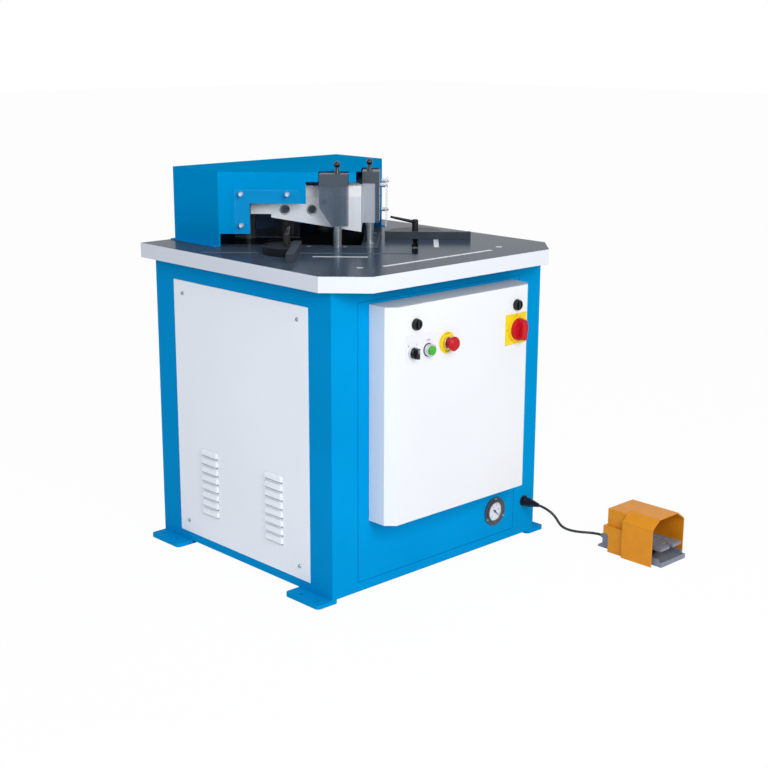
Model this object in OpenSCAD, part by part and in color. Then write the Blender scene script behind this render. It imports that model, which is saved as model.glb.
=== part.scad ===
// Hydraulic angle notching machine with a V-shaped ram, table fences and a foot pedal.
// Frame: X to the right along the control box side, Y to the back, Z up, floor at zero.

/* [Cabinet] */
// Width of the cabinet along its front
cab_w = 836; // [780:2:900]
// Depth of the cabinet from front to back
cab_d = 785; // [760:5:860]
// Height of the cabinet top above the floor
cab_top = 867; // [850:1:930]
// Sheet thickness of the welded cabinet
wall = 5; // [4:0.5:7]
// Width of the top flange that carries the table
top_flange = 55; // [45:1:60]
// Thickness of a foot plate
foot_t = 12; // [8:1:16]
// Length of a foot plate along the cabinet side
foot_l = 140; // [120:1:180]
// Reach of a foot plate beyond the cabinet side
foot_out = 53; // [50:1:80]
// Diameter of a floor anchor hole
anchor_d = 14; // [10:1:18]
// Distance of the anchor holes from the cabinet side
anchor_out = 32; // [26:1:36]
// Distance of the outer anchor holes from the cabinet end
anchor_in = 31.5; // [24:0.5:40]
// Distance between the two holes of one foot plate
anchor_pair = 67; // [50:1:80]

/* [Panels] */
// Thickness of the bolted panels
panel_t = 2; // [1.5:0.5:3]
// Width of a side panel
side_panel_w = 603; // [520:1:640]
// Height of the side and rear panels
panel_h = 776; // [700:1:790]
// Height of the panels' lower edge above the floor
panel_z = 38; // [34:1:45]
// Width of the flush front panel
front_w = 648; // [620:2:700]
// Height of the flush front panel
front_h = 790; // [760:1:800]
// Seam around the flush front panel
seam = 1.6; // [1:0.2:3]
// Distance of a panel screw from the panel edge across
screw_in_y = 43; // [30:1:60]
// Distance of a panel screw from the panel edge in height
screw_in_z = 38; // [25:1:60]
// Number of louvres in one column
louvre_n = 8; // [5:1:9]
// Pitch of the louvres
louvre_pitch = 26; // [23:1:28]
// Width of a louvre
louvre_w = 80; // [60:1:100]
// Outer radius of a louvre hood
louvre_r = 9; // [8:0.5:10]
// Distance of a louvre column from the panel middle
louvre_y = 148; // [110:1:170]
// Height of the lowest louvre above the panel's lower edge
louvre_z = 85; // [70:1:120]

/* [Table] */
// Thickness of the table plate
table_t = 43; // [40:1:60]
// Table overhang at the sides
table_side = 32; // [25:1:45]
// Table overhang at the front
table_front = 86.5; // [80:0.5:110]
// Table overhang at the back
table_back = 28.5; // [20:0.5:40]
// Cut of the two front corners
corner_cut = 100; // [60:1:110]
// Width of a fence slot at the table top
slot_w = 18; // [16:1:20]
// Width of the groove below the slot
slot_under = 34; // [32:1:40]
// Thickness of the ledges beside the slot
slot_ledge = 18; // [15:1:22]
// Offset of a fence slot from the cutting line
slot_off = 158; // [152:1:170]
// Distance of a fence slot's far end from the table side
slot_in = 27; // [20:1:40]
// Width of an inlaid scale
scale_w = 15; // [12:1:20]
// Thickness of an inlaid scale
scale_t = 2; // [1:0.5:4]
// Length of a wing scale
wing_scale_l = 155; // [100:5:180]
// Offset of a wing scale from the cutting line
wing_scale_off = 221; // [205:1:240]
// Length of the front scale
front_scale_l = 430; // [300:5:500]
// Distance of the front scale from the table's front edge
front_scale_in = 103; // [60:1:115]

/* [Cutting head] */
// Distance of the cutting apex in front of the cabinet middle
apex_front = 56; // [40:1:70]
// Length of the blades along each wing
blade_l = 264; // [230:1:270]
// Rise of the raked upper blade over its length
rake = 41; // [30:1:50]
// Open height over the table at the apex
mouth = 39; // [30:1:50]
// Thickness of an upper blade
blade_t = 25; // [20:1:30]
// Height of the upper blade's top over the table
blade_top = 142; // [138:1:150]
// Thickness of the ram arms
arm_t = 60; // [50:1:70]
// Length of the ram arms
arm_l = 324; // [310:1:340]
// Height of the arm ends over the table
arm_end_z = 90; // [88:1:95]
// Height of the ram's top over the table
ram_top = 174; // [165:1:180]
// Thickness of the web behind the ram arms
web_t = 44; // [30:1:60]
// Working stroke of the ram
stroke = 85; // [60:1:85]
// Clearance between upper and lower blades
shear_gap = 0.3; // [0.2:0.1:0.5]
// Width of a lower blade
low_w = 50; // [45:1:60]
// Thickness of a lower blade
low_t = 25; // [20:1:30]
// Side of the scrap opening behind the apex
open_l = 285; // [275:1:300]
// Rear edge of the scrap opening behind the cabinet middle
open_back = 215; // [200:1:225]

/* [Drive] */
// Distance of the drive behind the cabinet middle
drive_y = 290; // [286:1:292]
// Distance of a guide column from the middle
column_x = 150; // [130:1:165]
// Diameter of a guide column
column_d = 50; // [40:1:55]
// Wall of a guide bush
bush_wall = 8; // [5:1:10]
// Running clearance of shafts in their bores, on the radius
run_gap = 0.05; // [0.03:0.01:0.08]
// Height of the guide block
guide_h = 227; // [180:1:240]
// Depth of the guide block
guide_d = 90; // [80:1:95]
// Width of the guide block
guide_w = 460; // [440:2:500]
// Bore of the hydraulic cylinder
cyl_bore = 100; // [90:1:105]
// Wall of the hydraulic cylinder
cyl_wall = 15; // [10:1:18]
// Diameter of the piston rod
rod_d = 56; // [45:1:60]
// Length of the piston
piston_l = 40; // [30:1:50]

/* [Housing] */
// Width of the housing
house_w = 654; // [640:2:680]
// Distance of the housing's rear face from the table's rear edge
house_in = 2; // [1:1:20]
// Height of the housing over the table
house_h = 217; // [214:1:240]
// Sheet thickness of the housing
house_t = 3; // [2:0.5:4]
// Width of the flange at the foot of the side walls
house_flange = 16; // [12:1:24]
// Offset of the front plates from the cutting line
plate_off = 50; // [48:1:56]
// Width of the leg of a front plate
leg_w = 92; // [86:1:106]
// Height of the leg's lower edge over the table
leg_z = 38; // [32:1:45]
// Height of the wide band's lower edge over the table
band_z = 126; // [120:1:130]
// Start of the wide band along the wing
band_start = 158; // [150:1:170]
// Height of the narrow band's lower edge over the table
strip_z = 189; // [185:1:200]
// End of the front plates near the apex
plate_end = 13; // [10:1:18]

/* [Guards] */
// Start of a guard along the wing
guard_start = 36; // [34:1:40]
// Width of a guard along the wing
guard_w = 84; // [80:1:96]
// Gap between a guard and the ram or the housing
guard_gap = 1.5; // [1:0.5:4]
// Height of a guard's lower edge over the table
guard_z = 62; // [55:1:70]
// Height of a guard head
head_h = 35; // [30:1:42]
// Thickness of the tinted guard sheet
shield_t = 12; // [8:1:14]
// Place of the guard post along the wing
post_along = 69; // [64:1:72]
// Offset of the guard post from the cutting line
post_off = 22; // [20:1:25]
// Diameter of a guard post
post_d = 26; // [22:1:28]
// Diameter of the post's pin in the table
post_pin_d = 16; // [12:1:18]
// Lift of a guard out of its seat
guard_lift = 28; // [20:1:30]
// Diameter of a guard's ball knob
ball_d = 19; // [16:1:24]
// Height of a ball knob over the guard head
knob_h = 35; // [32:1:40]
// Thickness of a clear side shield
clear_t = 4; // [3:0.5:5]
// Standoff of a clear side shield
standoff = 16; // [12:1:18]
// Near end of a clear side shield along the wing
clear_start = 176; // [170:1:185]
// Far end of a clear side shield along the wing
clear_end = 361; // [355:1:370]
// Lower edge of a clear side shield over the table
clear_z = 32; // [30:1:40]
// Upper edge of a clear side shield over the table
clear_top = 167; // [165:1:185]

/* [Fences] */
// Place of the right fence along its slot
fence_right = 168; // [120:1:250]
// Place of the left fence along its slot
fence_left = 205; // [120:1:250]
// Radius of a fence's half-disc base
disc_r = 80; // [70:1:84]
// Thickness of a half-disc base
disc_t = 22; // [16:1:24]
// Distance of the half-disc's flat from its pivot
flat_off = 12; // [11:1:18]
// Section of a fence bar along the slot
bar_w = 23; // [16:1:26]
// Length of a fence bar inward of its slot
bar_in = 92; // [70:1:94]
// Length of a fence bar outward of its slot
bar_out = 168; // [120:1:180]
// Diameter of a fence clamp bolt
bolt_d = 12; // [10:1:14]
// Diameter of a clamp lever's hub
hub_d = 19; // [17:1:24]
// Height of a clamp lever's hub
hub_h = 33; // [28:1:40]
// Length of a clamp lever
lever_l = 74; // [60:1:78]

/* [Control box] */
// Width of the control box cover
box_w = 570; // [520:2:590]
// Height of the control box cover
box_h = 606; // [580:1:610]
// Depth of the control box cover
box_d = 85; // [80:1:100]
// Offset of the cover from the cabinet middle
box_x = 2; // [-20:1:20]
// Height of the cover's lower edge above the floor
box_z = 212; // [205:1:220]
// Bevel of the cover's upright edges
box_bevel = 25; // [15:1:30]
// Sheet thickness of the cover
box_t = 2; // [1.5:0.5:3]
// Diameter of a quarter-turn lock
lock_d = 33; // [28:1:38]
// Diameter of the emergency stop disc
stop_disc_d = 60; // [55:1:64]
// Diameter of the emergency stop mushroom
stop_d = 40; // [34:1:42]
// Diameter of the control bezels
bezel_d = 34; // [32:1:36]
// Side of the isolator plate
iso_plate = 88; // [82:1:92]
// Diameter of the isolator handle
iso_d = 66; // [54:1:68]

/* [Gauge] */
// Distance of the gauge from the front panel's right edge
gauge_in = 87; // [80:1:95]
// Height of the gauge above the floor
gauge_z = 114; // [108:1:116]
// Diameter of the gauge flange
gauge_d = 88; // [86:1:96]
// Diameter of the gauge dial
dial_d = 58; // [52:1:62]

/* [Pedal] */
// Place of the pedal's middle across the front
pedal_x = 525; // [520:1:535]
// Front edge of the pedal base in front of the cabinet middle
pedal_front = 846; // [840:1:860]
// Width of the pedal base
pedal_w = 120; // [110:1:126]
// Width of the pedal hood
hood_w = 160; // [154:1:170]
// Height of the pedal hood
hood_h = 140; // [134:1:150]
// Height of the hood's shoulders
hood_shoulder = 115; // [106:1:120]
// Wall of the hood
hood_t = 3; // [2:0.5:4]
// Diameter of the pedal cord
cord_d = 8; // [7:0.5:9]

/* [Hidden] */
$fn = 48;

// Colours
blue = [0.0, 0.52, 0.82];
white = [0.93, 0.94, 0.96];
steel = [0.45, 0.48, 0.52];
bright = [0.78, 0.79, 0.80];
black = [0.06, 0.06, 0.07];
dark_grey = [0.28, 0.30, 0.33];
tint = [0.40, 0.45, 0.50, 0.6];
clear = [0.85, 0.90, 0.95, 0.3];
orange = [0.90, 0.58, 0.10];
yellow = [0.97, 0.83, 0.05];
red = [0.78, 0.08, 0.10];
green = [0.25, 0.70, 0.20];
bronze = [0.72, 0.52, 0.25];
grey_cast = [0.50, 0.53, 0.57];

// Fits and small shared sizes
over = 1;
slip = 0.2;
body_gap = 0.3;
weld_gap = 0.2;
mitre_gap = 0.15;
guard_drop = 5;
guard_out = 2;
top_t = 8;
groove_h = 14;
front_lap = 14;
foot_under = 23;
foot_round = 12;

// Levels and edges worked out from the driving sizes
table_top = cab_top + table_t;
apex_y = -apex_front;
front_y = -cab_d / 2;
table_x = cab_w / 2 + table_side;
table_y0 = front_y - table_front;
table_y1 = cab_d / 2 + table_back;
slot_end = (table_x - slot_in) * sqrt(2) - slot_off;
anchor_x = cab_w / 2 + anchor_out;
anchor_y = cab_d / 2 - anchor_in;
panel_top = panel_z + panel_h;
guide_z = cab_top - guide_h;
block_z = table_top + arm_end_z;
spigot_l = 50;
column_spigot = column_d - 10;
rod_spigot = rod_d - 16;
leg_end = house_w * sqrt(0.5) - plate_off;
house_z = table_top + house_h;
house_back = table_y1 - house_in;
guard_end = guard_start + guard_w;
guard_top = house_z - guard_drop;
guard_face = plate_off + guard_out;
head_z = guard_top - head_h;
post_pin_l = guard_lift + 10;
face_y = front_y - box_d;
box_top = box_z + box_h;
box_x0 = box_x - box_w / 2;
box_x1 = box_x + box_w / 2;
gauge_x = front_w / 2 - gauge_in;

// Sizes of the screws: shank, length
panel_screw = [6, 12];
shield_screw = [6, standoff + clear_t + 7];
blade_screw = [8, 36];
deck_screw = [10, table_t + top_t];

// Places of the countersunk blade screws along and outward of the cutting line
blade_screw_along = [46, blade_l / 2 + 20, blade_l - 6];
blade_screw_off = 30;
deck_screw_x = cab_w / 3 - 2;
deck_screw_y = cab_d / 2 - top_flange / 2 - 15;

// Places of the clear shield's screws: along the wing and over the table
shield_screws_at = [[clear_end - 16, clear_top - 13], [clear_end - 16, clear_z + 32], [clear_start + 35, clear_top - 13]];

// Places of the ram's blade bolts: along the wing, over the table, head diameter
blade_bolts_at = [[145, 103, 22], [224, 103, 22], [109, 126, 14]];

function wing_xy(along, inward) = [(along - inward) * sqrt(0.5), apex_y + (along + inward) * sqrt(0.5)];
function flip(p) = [-p[0], p[1]];

// Box between two corners
module block(low, high) { translate(low) cube(high - low); }

// Frame of one wing: x from the apex along the blade, minus y outward to the operator
module wing(side) {
    if (side > 0) translate([0, apex_y, 0]) rotate([0, 0, 45]) children();
    else mirror([1, 0, 0]) translate([0, apex_y, 0]) rotate([0, 0, 45]) children();
}

module both_wings() { for (side = [-1, 1]) wing(side) children(); }

// Plate that stands on edge: its outline is drawn in x and z
module upright(y0, y1) { translate([0, y1, 0]) rotate([90, 0, 0]) linear_extrude(y1 - y0) children(); }

// Things on the control box face, drawn with z outward
module on_face(x, z) { translate([x, face_y, z]) rotate([90, 0, 0]) children(); }

module round_rect(w, d, r) {
    square([w - 2 * r, d], center = true);
    square([w, d - 2 * r], center = true);
    for (sx = [-1, 1], sy = [-1, 1]) translate([sx * (w / 2 - r), sy * (d / 2 - r)]) circle(r);
}

// Pan-head screw with its seat at zero and its shank below
module pan_screw(d, l) {
    translate([0, 0, -l]) cylinder(d = d, h = l);
    difference() {
        cylinder(d1 = 2 * d, d2 = 1.5 * d, h = 0.55 * d);
        translate([0, 0, 0.3 * d]) cylinder(d = 0.8 * d, h = d, $fn = 6);
    }
}

// Countersunk screw with its top at zero
module sunk_screw(d, l, play = 0) {
    translate([0, 0, -d / 2]) cylinder(d1 = d + play, d2 = 2 * d + play, h = d / 2);
    translate([0, 0, -l - play]) cylinder(d = d + play, h = l + play - d / 2);
}

module sunk_socket(d) { translate([0, 0, -d / 3]) cylinder(d = d, h = d, $fn = 6); }

// Cabinet

module foot_plates() {
    w = foot_out + foot_under;
    for (sx = [-1, 1], sy = [-1, 1])
        translate([sx * (cab_w / 2 - foot_under + w / 2), sy * (cab_d / 2 - foot_l / 2), 0])
            linear_extrude(foot_t) round_rect(w, foot_l, foot_round);
}

module anchor_holes() {
    for (sx = [-1, 1], sy = [-1, 1], pair = [0, anchor_pair])
        translate([sx * anchor_x, sy * (anchor_y - pair), -over]) cylinder(d = anchor_d, h = foot_t + 2 * over);
}

// Side panel screw places, drawn with z outward from the right side
module side_screw_places(face_x) {
    for (sy = [-1, 1], z = [panel_z + screw_in_z, panel_top - screw_in_z])
        translate([face_x, sy * (side_panel_w / 2 - screw_in_y), z]) rotate([0, 90, 0]) children();
}

module rear_screw_places(face_r) {
    for (sx = [-1, 1], z = [panel_z + screw_in_z, panel_top - screw_in_z])
        translate([sx * (side_panel_w / 2 - screw_in_y), face_r, z]) rotate([-90, 0, 0]) children();
}

module both_sides() { children(); mirror([1, 0, 0]) children(); }

module frame_openings() {
    lap = screw_in_y + 2 * panel_screw[0];
    open_w = side_panel_w - 2 * lap;
    block([-cab_w, -open_w / 2, panel_z + lap], [cab_w, open_w / 2, panel_top - lap]);
    block([-open_w / 2, 0, panel_z + lap], [open_w / 2, cab_d, panel_top - lap]);
    block([-front_w / 2 + front_lap, -cab_d, panel_z + front_lap],
          [front_w / 2 - front_lap, 0, panel_z + front_h - front_lap]);
    block([-front_w / 2, front_y - over, panel_z], [front_w / 2, front_y + panel_t, panel_z + front_h]);
}

socket_x = front_w / 2 + 47;
socket_z = gauge_z + 2;
socket_d = 26;

module base_frame() color(blue) difference() {
    union() {
        block([-cab_w / 2, front_y, foot_t], [cab_w / 2, cab_d / 2, cab_top]);
        foot_plates();
    }
    block([-cab_w / 2 + wall, front_y + wall, foot_t + wall], [cab_w / 2 - wall, cab_d / 2 - wall, cab_top - top_t]);
    block([-cab_w / 2 + top_flange, front_y + top_flange, cab_top - top_t - over],
          [cab_w / 2 - top_flange, cab_d / 2 - top_flange, cab_top + over]);
    frame_openings();
    anchor_holes();
    hole_l = panel_screw[1] + over;
    both_sides() side_screw_places(cab_w / 2) translate([0, 0, -hole_l]) cylinder(d = panel_screw[0] + slip, h = 2 * hole_l);
    rear_screw_places(cab_d / 2) translate([0, 0, -hole_l]) cylinder(d = panel_screw[0] + slip, h = 2 * hole_l);
    deck_screw_places() sunk_screw(deck_screw[0], deck_screw[1] + over, slip);
    translate([socket_x, front_y - over, socket_z]) rotate([-90, 0, 0]) cylinder(d = socket_d + slip, h = wall + 2 * over);
}

// Hinge of the box cover at the cover's lower edge
hinge_r = 5;
hinge_pin_d = 5;
hinge_l = 60;
hinge_gap = 0.4;
hinge_y = front_y - hinge_r;
hinge_z = box_z - hinge_r - 0.5;
hinge_x = box_w / 2 - 100;
leaf_t = 2.5;
leaf_h = 24;
cover_gap = 0.8;

module along_x(x, l) { translate([x, hinge_y, hinge_z]) rotate([0, 90, 0]) translate([0, 0, -l / 2]) children(); }

module fixed_hinge(x) {
    knuckle = hinge_l / 4;
    for (s = [-1, 1]) {
        c = x + s * (hinge_l - knuckle) / 2;
        along_x(c, knuckle) cylinder(r = hinge_r, h = knuckle);
        block([c - knuckle / 2, front_y - leaf_t, hinge_z - leaf_h], [c + knuckle / 2, front_y + panel_t / 2, hinge_z]);
    }
    along_x(x, hinge_l) cylinder(d = hinge_pin_d, h = hinge_l);
}

module front_panel() color(blue) {
    difference() {
        block([-front_w / 2 + seam, front_y, panel_z + seam],
              [front_w / 2 - seam, front_y + panel_t, panel_z + front_h - seam]);
        gauge_place() translate([0, 0, -panel_t - over]) cylinder(d = gauge_body_d + slip, h = panel_t + 2 * over);
        gauge_screw_places() translate([0, 0, -panel_t - over]) cylinder(d = gauge_screw[0] + slip, h = panel_t + 2 * over);
    }
    for (s = [-1, 1]) fixed_hinge(box_x + s * hinge_x);
}

// Louvres, drawn at the right side panel
louvre_wall = 1.5;
louvre_sink = 4;

module louvre_places() {
    for (sy = [-1, 1], i = [0 : louvre_n - 1])
        translate([cab_w / 2 + panel_t - louvre_sink, sy * louvre_y, panel_z + louvre_z + i * louvre_pitch]) children();
}

module louvre_rod(r, l) { rotate([90, 0, 0]) translate([0, 0, -l / 2]) cylinder(r = r, h = l); }

module side_panel() difference() {
    union() {
        block([cab_w / 2, -side_panel_w / 2, panel_z], [cab_w / 2 + panel_t, side_panel_w / 2, panel_top]);
        intersection() {
            louvre_places() intersection() {
                louvre_rod(louvre_r, louvre_w);
                translate([-louvre_r, -louvre_w, -louvre_sink / 2]) cube([3 * louvre_r, 2 * louvre_w, 2 * louvre_r]);
            }
            block([cab_w / 2, -side_panel_w, 0], [cab_w, side_panel_w, panel_top]);
        }
    }
    louvre_places() louvre_rod(louvre_r - louvre_wall, louvre_w - 2 * louvre_wall);
    side_screw_places(cab_w / 2) translate([0, 0, -over]) cylinder(d = panel_screw[0] + slip, h = panel_t + 2 * over);
}

module side_panels() color(white) both_sides() side_panel();

module rear_panel() color(white) difference() {
    block([-side_panel_w / 2, cab_d / 2, panel_z], [side_panel_w / 2, cab_d / 2 + panel_t, panel_top]);
    rear_screw_places(cab_d / 2) translate([0, 0, -over]) cylinder(d = panel_screw[0] + slip, h = panel_t + 2 * over);
}

module panel_screws() color(bright) {
    both_sides() side_screw_places(cab_w / 2 + panel_t) pan_screw(panel_screw[0], panel_screw[1]);
    rear_screw_places(cab_d / 2 + panel_t) pan_screw(panel_screw[0], panel_screw[1]);
    gauge_screw_places() translate([0, 0, gauge_flange_t]) pan_screw(gauge_screw[0], gauge_screw[1]);
}

// Table and lower blades

module table_outline() {
    c = corner_cut;
    polygon([[-table_x, table_y1], [-table_x, table_y0 + c], [-table_x + c, table_y0],
             [table_x - c, table_y0], [table_x, table_y0 + c], [table_x, table_y1]]);
}

module slot_run(w, z0, z1) {
    translate([0, 0, z0]) linear_extrude(z1 - z0) {
        translate([-slot_off - w / 2, -slot_off - w / 2]) square([slot_end + slot_off + w / 2, w]);
        translate([slot_end, -slot_off]) circle(d = w);
    }
}

// Entry for the clamp bolts' heads, from below where the two slots cross
module slot_entry() {
    translate([0, wing_xy(-slot_off, -slot_off)[1], cab_top - over]) rotate([0, 0, 45])
        translate([-slot_under / 2, -slot_under / 2, 0]) cube([slot_under, slot_under, table_t - slot_ledge + over]);
}

// Lower blade seen from above; the mitre leaves a fine gap to the other wing's blade
module lower_blade_outline(gap) {
    polygon([[gap - shear_gap, -shear_gap], [blade_l + 10, -shear_gap], [blade_l + 10, -low_w], [gap - low_w, -low_w]]);
}

module blade_screw_places() {
    for (a = blade_screw_along) translate([a, -blade_screw_off, table_top]) children();
}

module deck_screw_places() {
    for (sx = [-1, 1], sy = [-1, 1]) translate([sx * deck_screw_x, sy * deck_screw_y, table_top]) children();
}

module post_place() { translate([post_along, -post_off, 0]) children(); }

module post_hole() {
    post_place() translate([0, 0, table_top - post_pin_l - over]) cylinder(d = post_pin_d + 2 * run_gap, h = post_pin_l + 2 * over);
}

module wing_scale(play = 0) {
    translate([-28 - play, -wing_scale_off - scale_w / 2 - play, table_top - scale_t])
        cube([wing_scale_l + 2 * play, scale_w + 2 * play, scale_t + 20 * play]);
}

module front_scale(play = 0) {
    translate([-front_scale_l / 2 - play, table_y0 + front_scale_in - scale_w / 2 - play, table_top - scale_t])
        cube([front_scale_l + 2 * play, scale_w + 2 * play, scale_t + 20 * play]);
}

module scrap_opening() {
    intersection() {
        wing(1) block([-shear_gap, -shear_gap, cab_top - over], [open_l, open_l, table_top + over]);
        block([-cab_w, -cab_d, 0], [cab_w, open_back, 2 * table_top]);
    }
}

module drive_places() { for (x = [-column_x, column_x]) translate([x, drive_y, 0]) children(); }

module table_plate() color(steel) difference() {
    translate([0, 0, cab_top]) linear_extrude(table_t) table_outline();
    scrap_opening();
    both_wings() {
        slot_run(slot_w, table_top - slot_ledge - over, table_top + over);
        slot_run(slot_under, table_top - slot_ledge - groove_h, table_top - slot_ledge);
        translate([0, 0, table_top - low_t]) linear_extrude(low_t + over) lower_blade_outline(0);
        blade_screw_places() sunk_screw(blade_screw[0], blade_screw[1], slip);
        post_hole();
        wing_scale(0.1);
    }
    front_scale(0.1);
    slot_entry();
    deck_screw_places() sunk_screw(deck_screw[0], deck_screw[1], slip);
    drive_places() translate([0, 0, cab_top - over]) cylinder(d = column_d + 4, h = table_t + 2 * over);
    translate([0, drive_y, cab_top - over]) cylinder(d = rod_d + 8, h = table_t + 2 * over);
}

module table_screws() color(bright) {
    both_wings() blade_screw_places() difference() {
        sunk_screw(blade_screw[0], blade_screw[1]);
        sunk_socket(blade_screw[0]);
    }
    deck_screw_places() difference() {
        sunk_screw(deck_screw[0], deck_screw[1]);
        sunk_socket(deck_screw[0]);
    }
}

module lower_blades() color(bright) both_wings() difference() {
    translate([0, 0, table_top - low_t]) linear_extrude(low_t) lower_blade_outline(mitre_gap);
    blade_screw_places() sunk_screw(blade_screw[0], blade_screw[1], slip);
    post_hole();
}

module table_scales() color(white) {
    both_wings() wing_scale();
    front_scale();
}

// Ram and its drive

seat_lift = 4;

module arm_outline() {
    z0 = table_top + mouth + seat_lift;
    polygon([[0, z0], [blade_l, z0 + rake], [blade_l, block_z], [arm_l, block_z],
             [arm_l, table_top + ram_top], [0, table_top + ram_top]]);
}

module upper_blade_body() {
    z0 = table_top + mouth;
    z1 = table_top + blade_top;
    intersection() {
        upright(0, blade_t) polygon([[0, z0], [blade_l, z0 + rake], [blade_l, z1], [0, z1]]);
        linear_extrude(2 * table_top)
            polygon([[mitre_gap, 0], [blade_l, 0], [blade_l, blade_t], [blade_t + mitre_gap, blade_t]]);
    }
}

bolt_sink = 14;
bolt_room = 9;

module blade_bolt_places() {
    for (b = blade_bolts_at) translate([b[0], 0, table_top + b[1]]) rotate([90, 0, 0]) bolt_at(b[2]) children();
}

module bolt_at(head_d) { $head_d = head_d; children(); }

module blade_bolt_holes() {
    blade_bolt_places() {
        translate([0, 0, -bolt_sink]) cylinder(d = $head_d + bolt_room, h = bolt_sink + over);
        translate([0, 0, -arm_t]) cylinder(d = $head_d / 2 + slip, h = arm_t);
    }
}

rear_x = guide_w / 2 - 15;

module ram() color(white) difference() {
    union() {
        both_wings() upright(0, arm_t) arm_outline();
        translate([0, 0, table_top + ram_top - web_t]) linear_extrude(web_t)
            polygon([[0, apex_y], wing_xy(arm_l, 0), [rear_x, drive_y - guide_d / 2], [rear_x, drive_y + guide_d / 2],
                     [-rear_x, drive_y + guide_d / 2], [-rear_x, drive_y - guide_d / 2], flip(wing_xy(arm_l, 0))]);
        block([-rear_x, drive_y - guide_d / 2, block_z], [rear_x, drive_y + guide_d / 2, table_top + ram_top]);
    }
    both_wings() {
        block([-over, -over, table_top], [blade_l, blade_t, table_top + blade_top]);
        blade_bolt_holes();
    }
    drive_places() translate([0, 0, block_z - over]) cylinder(d = column_spigot + slip, h = spigot_l + 2 * over);
    translate([0, drive_y, block_z - over]) cylinder(d = rod_spigot + slip, h = spigot_l + 2 * over);
}

module upper_blades() color(bright) both_wings() difference() {
    upper_blade_body();
    blade_bolt_holes();
}

module blade_bolts() color(dark_grey) both_wings() blade_bolt_places() {
    difference() {
        translate([0, 0, -bolt_sink]) cylinder(d = $head_d, h = $head_d / 2);
        translate([0, 0, $head_d / 4 - bolt_sink]) cylinder(d = $head_d / 2, h = $head_d, $fn = 6);
    }
    translate([0, 0, 1 - arm_t]) cylinder(d = $head_d / 2, h = arm_t - bolt_sink - 1);
}

module guide_columns() color(bright) drive_places() {
    translate([0, 0, guide_z - 10]) cylinder(d = column_d, h = block_z - guide_z + 10);
    translate([0, 0, block_z - over]) cylinder(d = column_spigot, h = spigot_l + over);
}

module guide_bushes() color(bronze) drive_places() translate([0, 0, guide_z]) difference() {
    cylinder(d = column_d + 2 * bush_wall, h = guide_h);
    translate([0, 0, -over]) cylinder(d = column_d + 2 * run_gap, h = guide_h + 2 * over);
}

module guide_block() color(grey_cast) difference() {
    block([-guide_w / 2, drive_y - guide_d / 2, guide_z], [guide_w / 2, drive_y + guide_d / 2, cab_top]);
    drive_places() translate([0, 0, guide_z - over]) cylinder(d = column_d + 2 * bush_wall + slip, h = guide_h + 2 * over);
    translate([0, drive_y, guide_z - over]) cylinder(d = rod_d + 8, h = guide_h + 2 * over);
}

gland_h = 20;
cyl_flange_d = 168;
cyl_floor = 15;
cyl_l = stroke + piston_l + gland_h + cyl_floor + 80;

module hydraulic_cylinder() color(dark_grey) translate([0, drive_y, guide_z]) {
    difference() {
        union() {
            translate([0, 0, -cyl_l]) cylinder(d = cyl_bore + 2 * cyl_wall, h = cyl_l);
            translate([0, 0, -gland_h]) cylinder(d = cyl_flange_d, h = gland_h);
        }
        translate([0, 0, cyl_floor - cyl_l]) cylinder(d = cyl_bore, h = cyl_l);
    }
    translate([0, 0, -gland_h]) difference() {
        cylinder(d = cyl_bore - slip, h = gland_h);
        translate([0, 0, -over]) cylinder(d = rod_d + 2 * run_gap, h = gland_h + 2 * over);
    }
}

module piston_rod() color(bright) translate([0, drive_y, 0]) {
    translate([0, 0, guide_z - gland_h - 2 - piston_l]) cylinder(d = cyl_bore - 2 * run_gap, h = piston_l);
    translate([0, 0, guide_z - gland_h - 2 - over]) cylinder(d = rod_d, h = block_z - guide_z + gland_h + 2 + over);
    translate([0, 0, block_z - over]) cylinder(d = rod_spigot, h = spigot_l + over);
}

// Housing over the ram

notch_start = guard_start - guard_gap;
notch_end = guard_end + guard_gap;

foot_strip = 4;
tip_open = 40;

// Outline of the housing seen from above; the inner one runs out at the open tip.
// Only the left front plate ends in a tab at the tip, the right one stops at its guard.
module house_outline() {
    corner = wing_xy(leg_end, -plate_off);
    tip = wing_xy(plate_end, -plate_off);
    polygon([[-house_w / 2, house_back], [house_w / 2, house_back], corner, tip, flip(tip), flip(corner)]);
}

module house_inside() {
    inner_x = house_w / 2 - house_t;
    inner_off = plate_off - house_t;
    corner = wing_xy(inner_x * sqrt(2) - inner_off, -inner_off);
    tip = wing_xy(-tip_open, -inner_off);
    polygon([[-inner_x, house_back - house_t], [inner_x, house_back - house_t], corner, tip, flip(tip), flip(corner)]);
}

// Work opening below the front plate's stepped lower edge
module window_outline() {
    translate([0, table_top])
        polygon([[-2 * tip_open, -over], [leg_end - foot_strip, -over], [leg_end - foot_strip, leg_z],
                 [leg_end - leg_w, leg_z], [leg_end - leg_w, band_z], [band_start, band_z], [band_start, strip_z],
                 [-2 * tip_open, strip_z]]);
}

module shield_screw_places(off) {
    for (p = shield_screws_at) translate([p[0], -off, table_top + p[1]]) rotate([90, 0, 0]) children();
}

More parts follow.
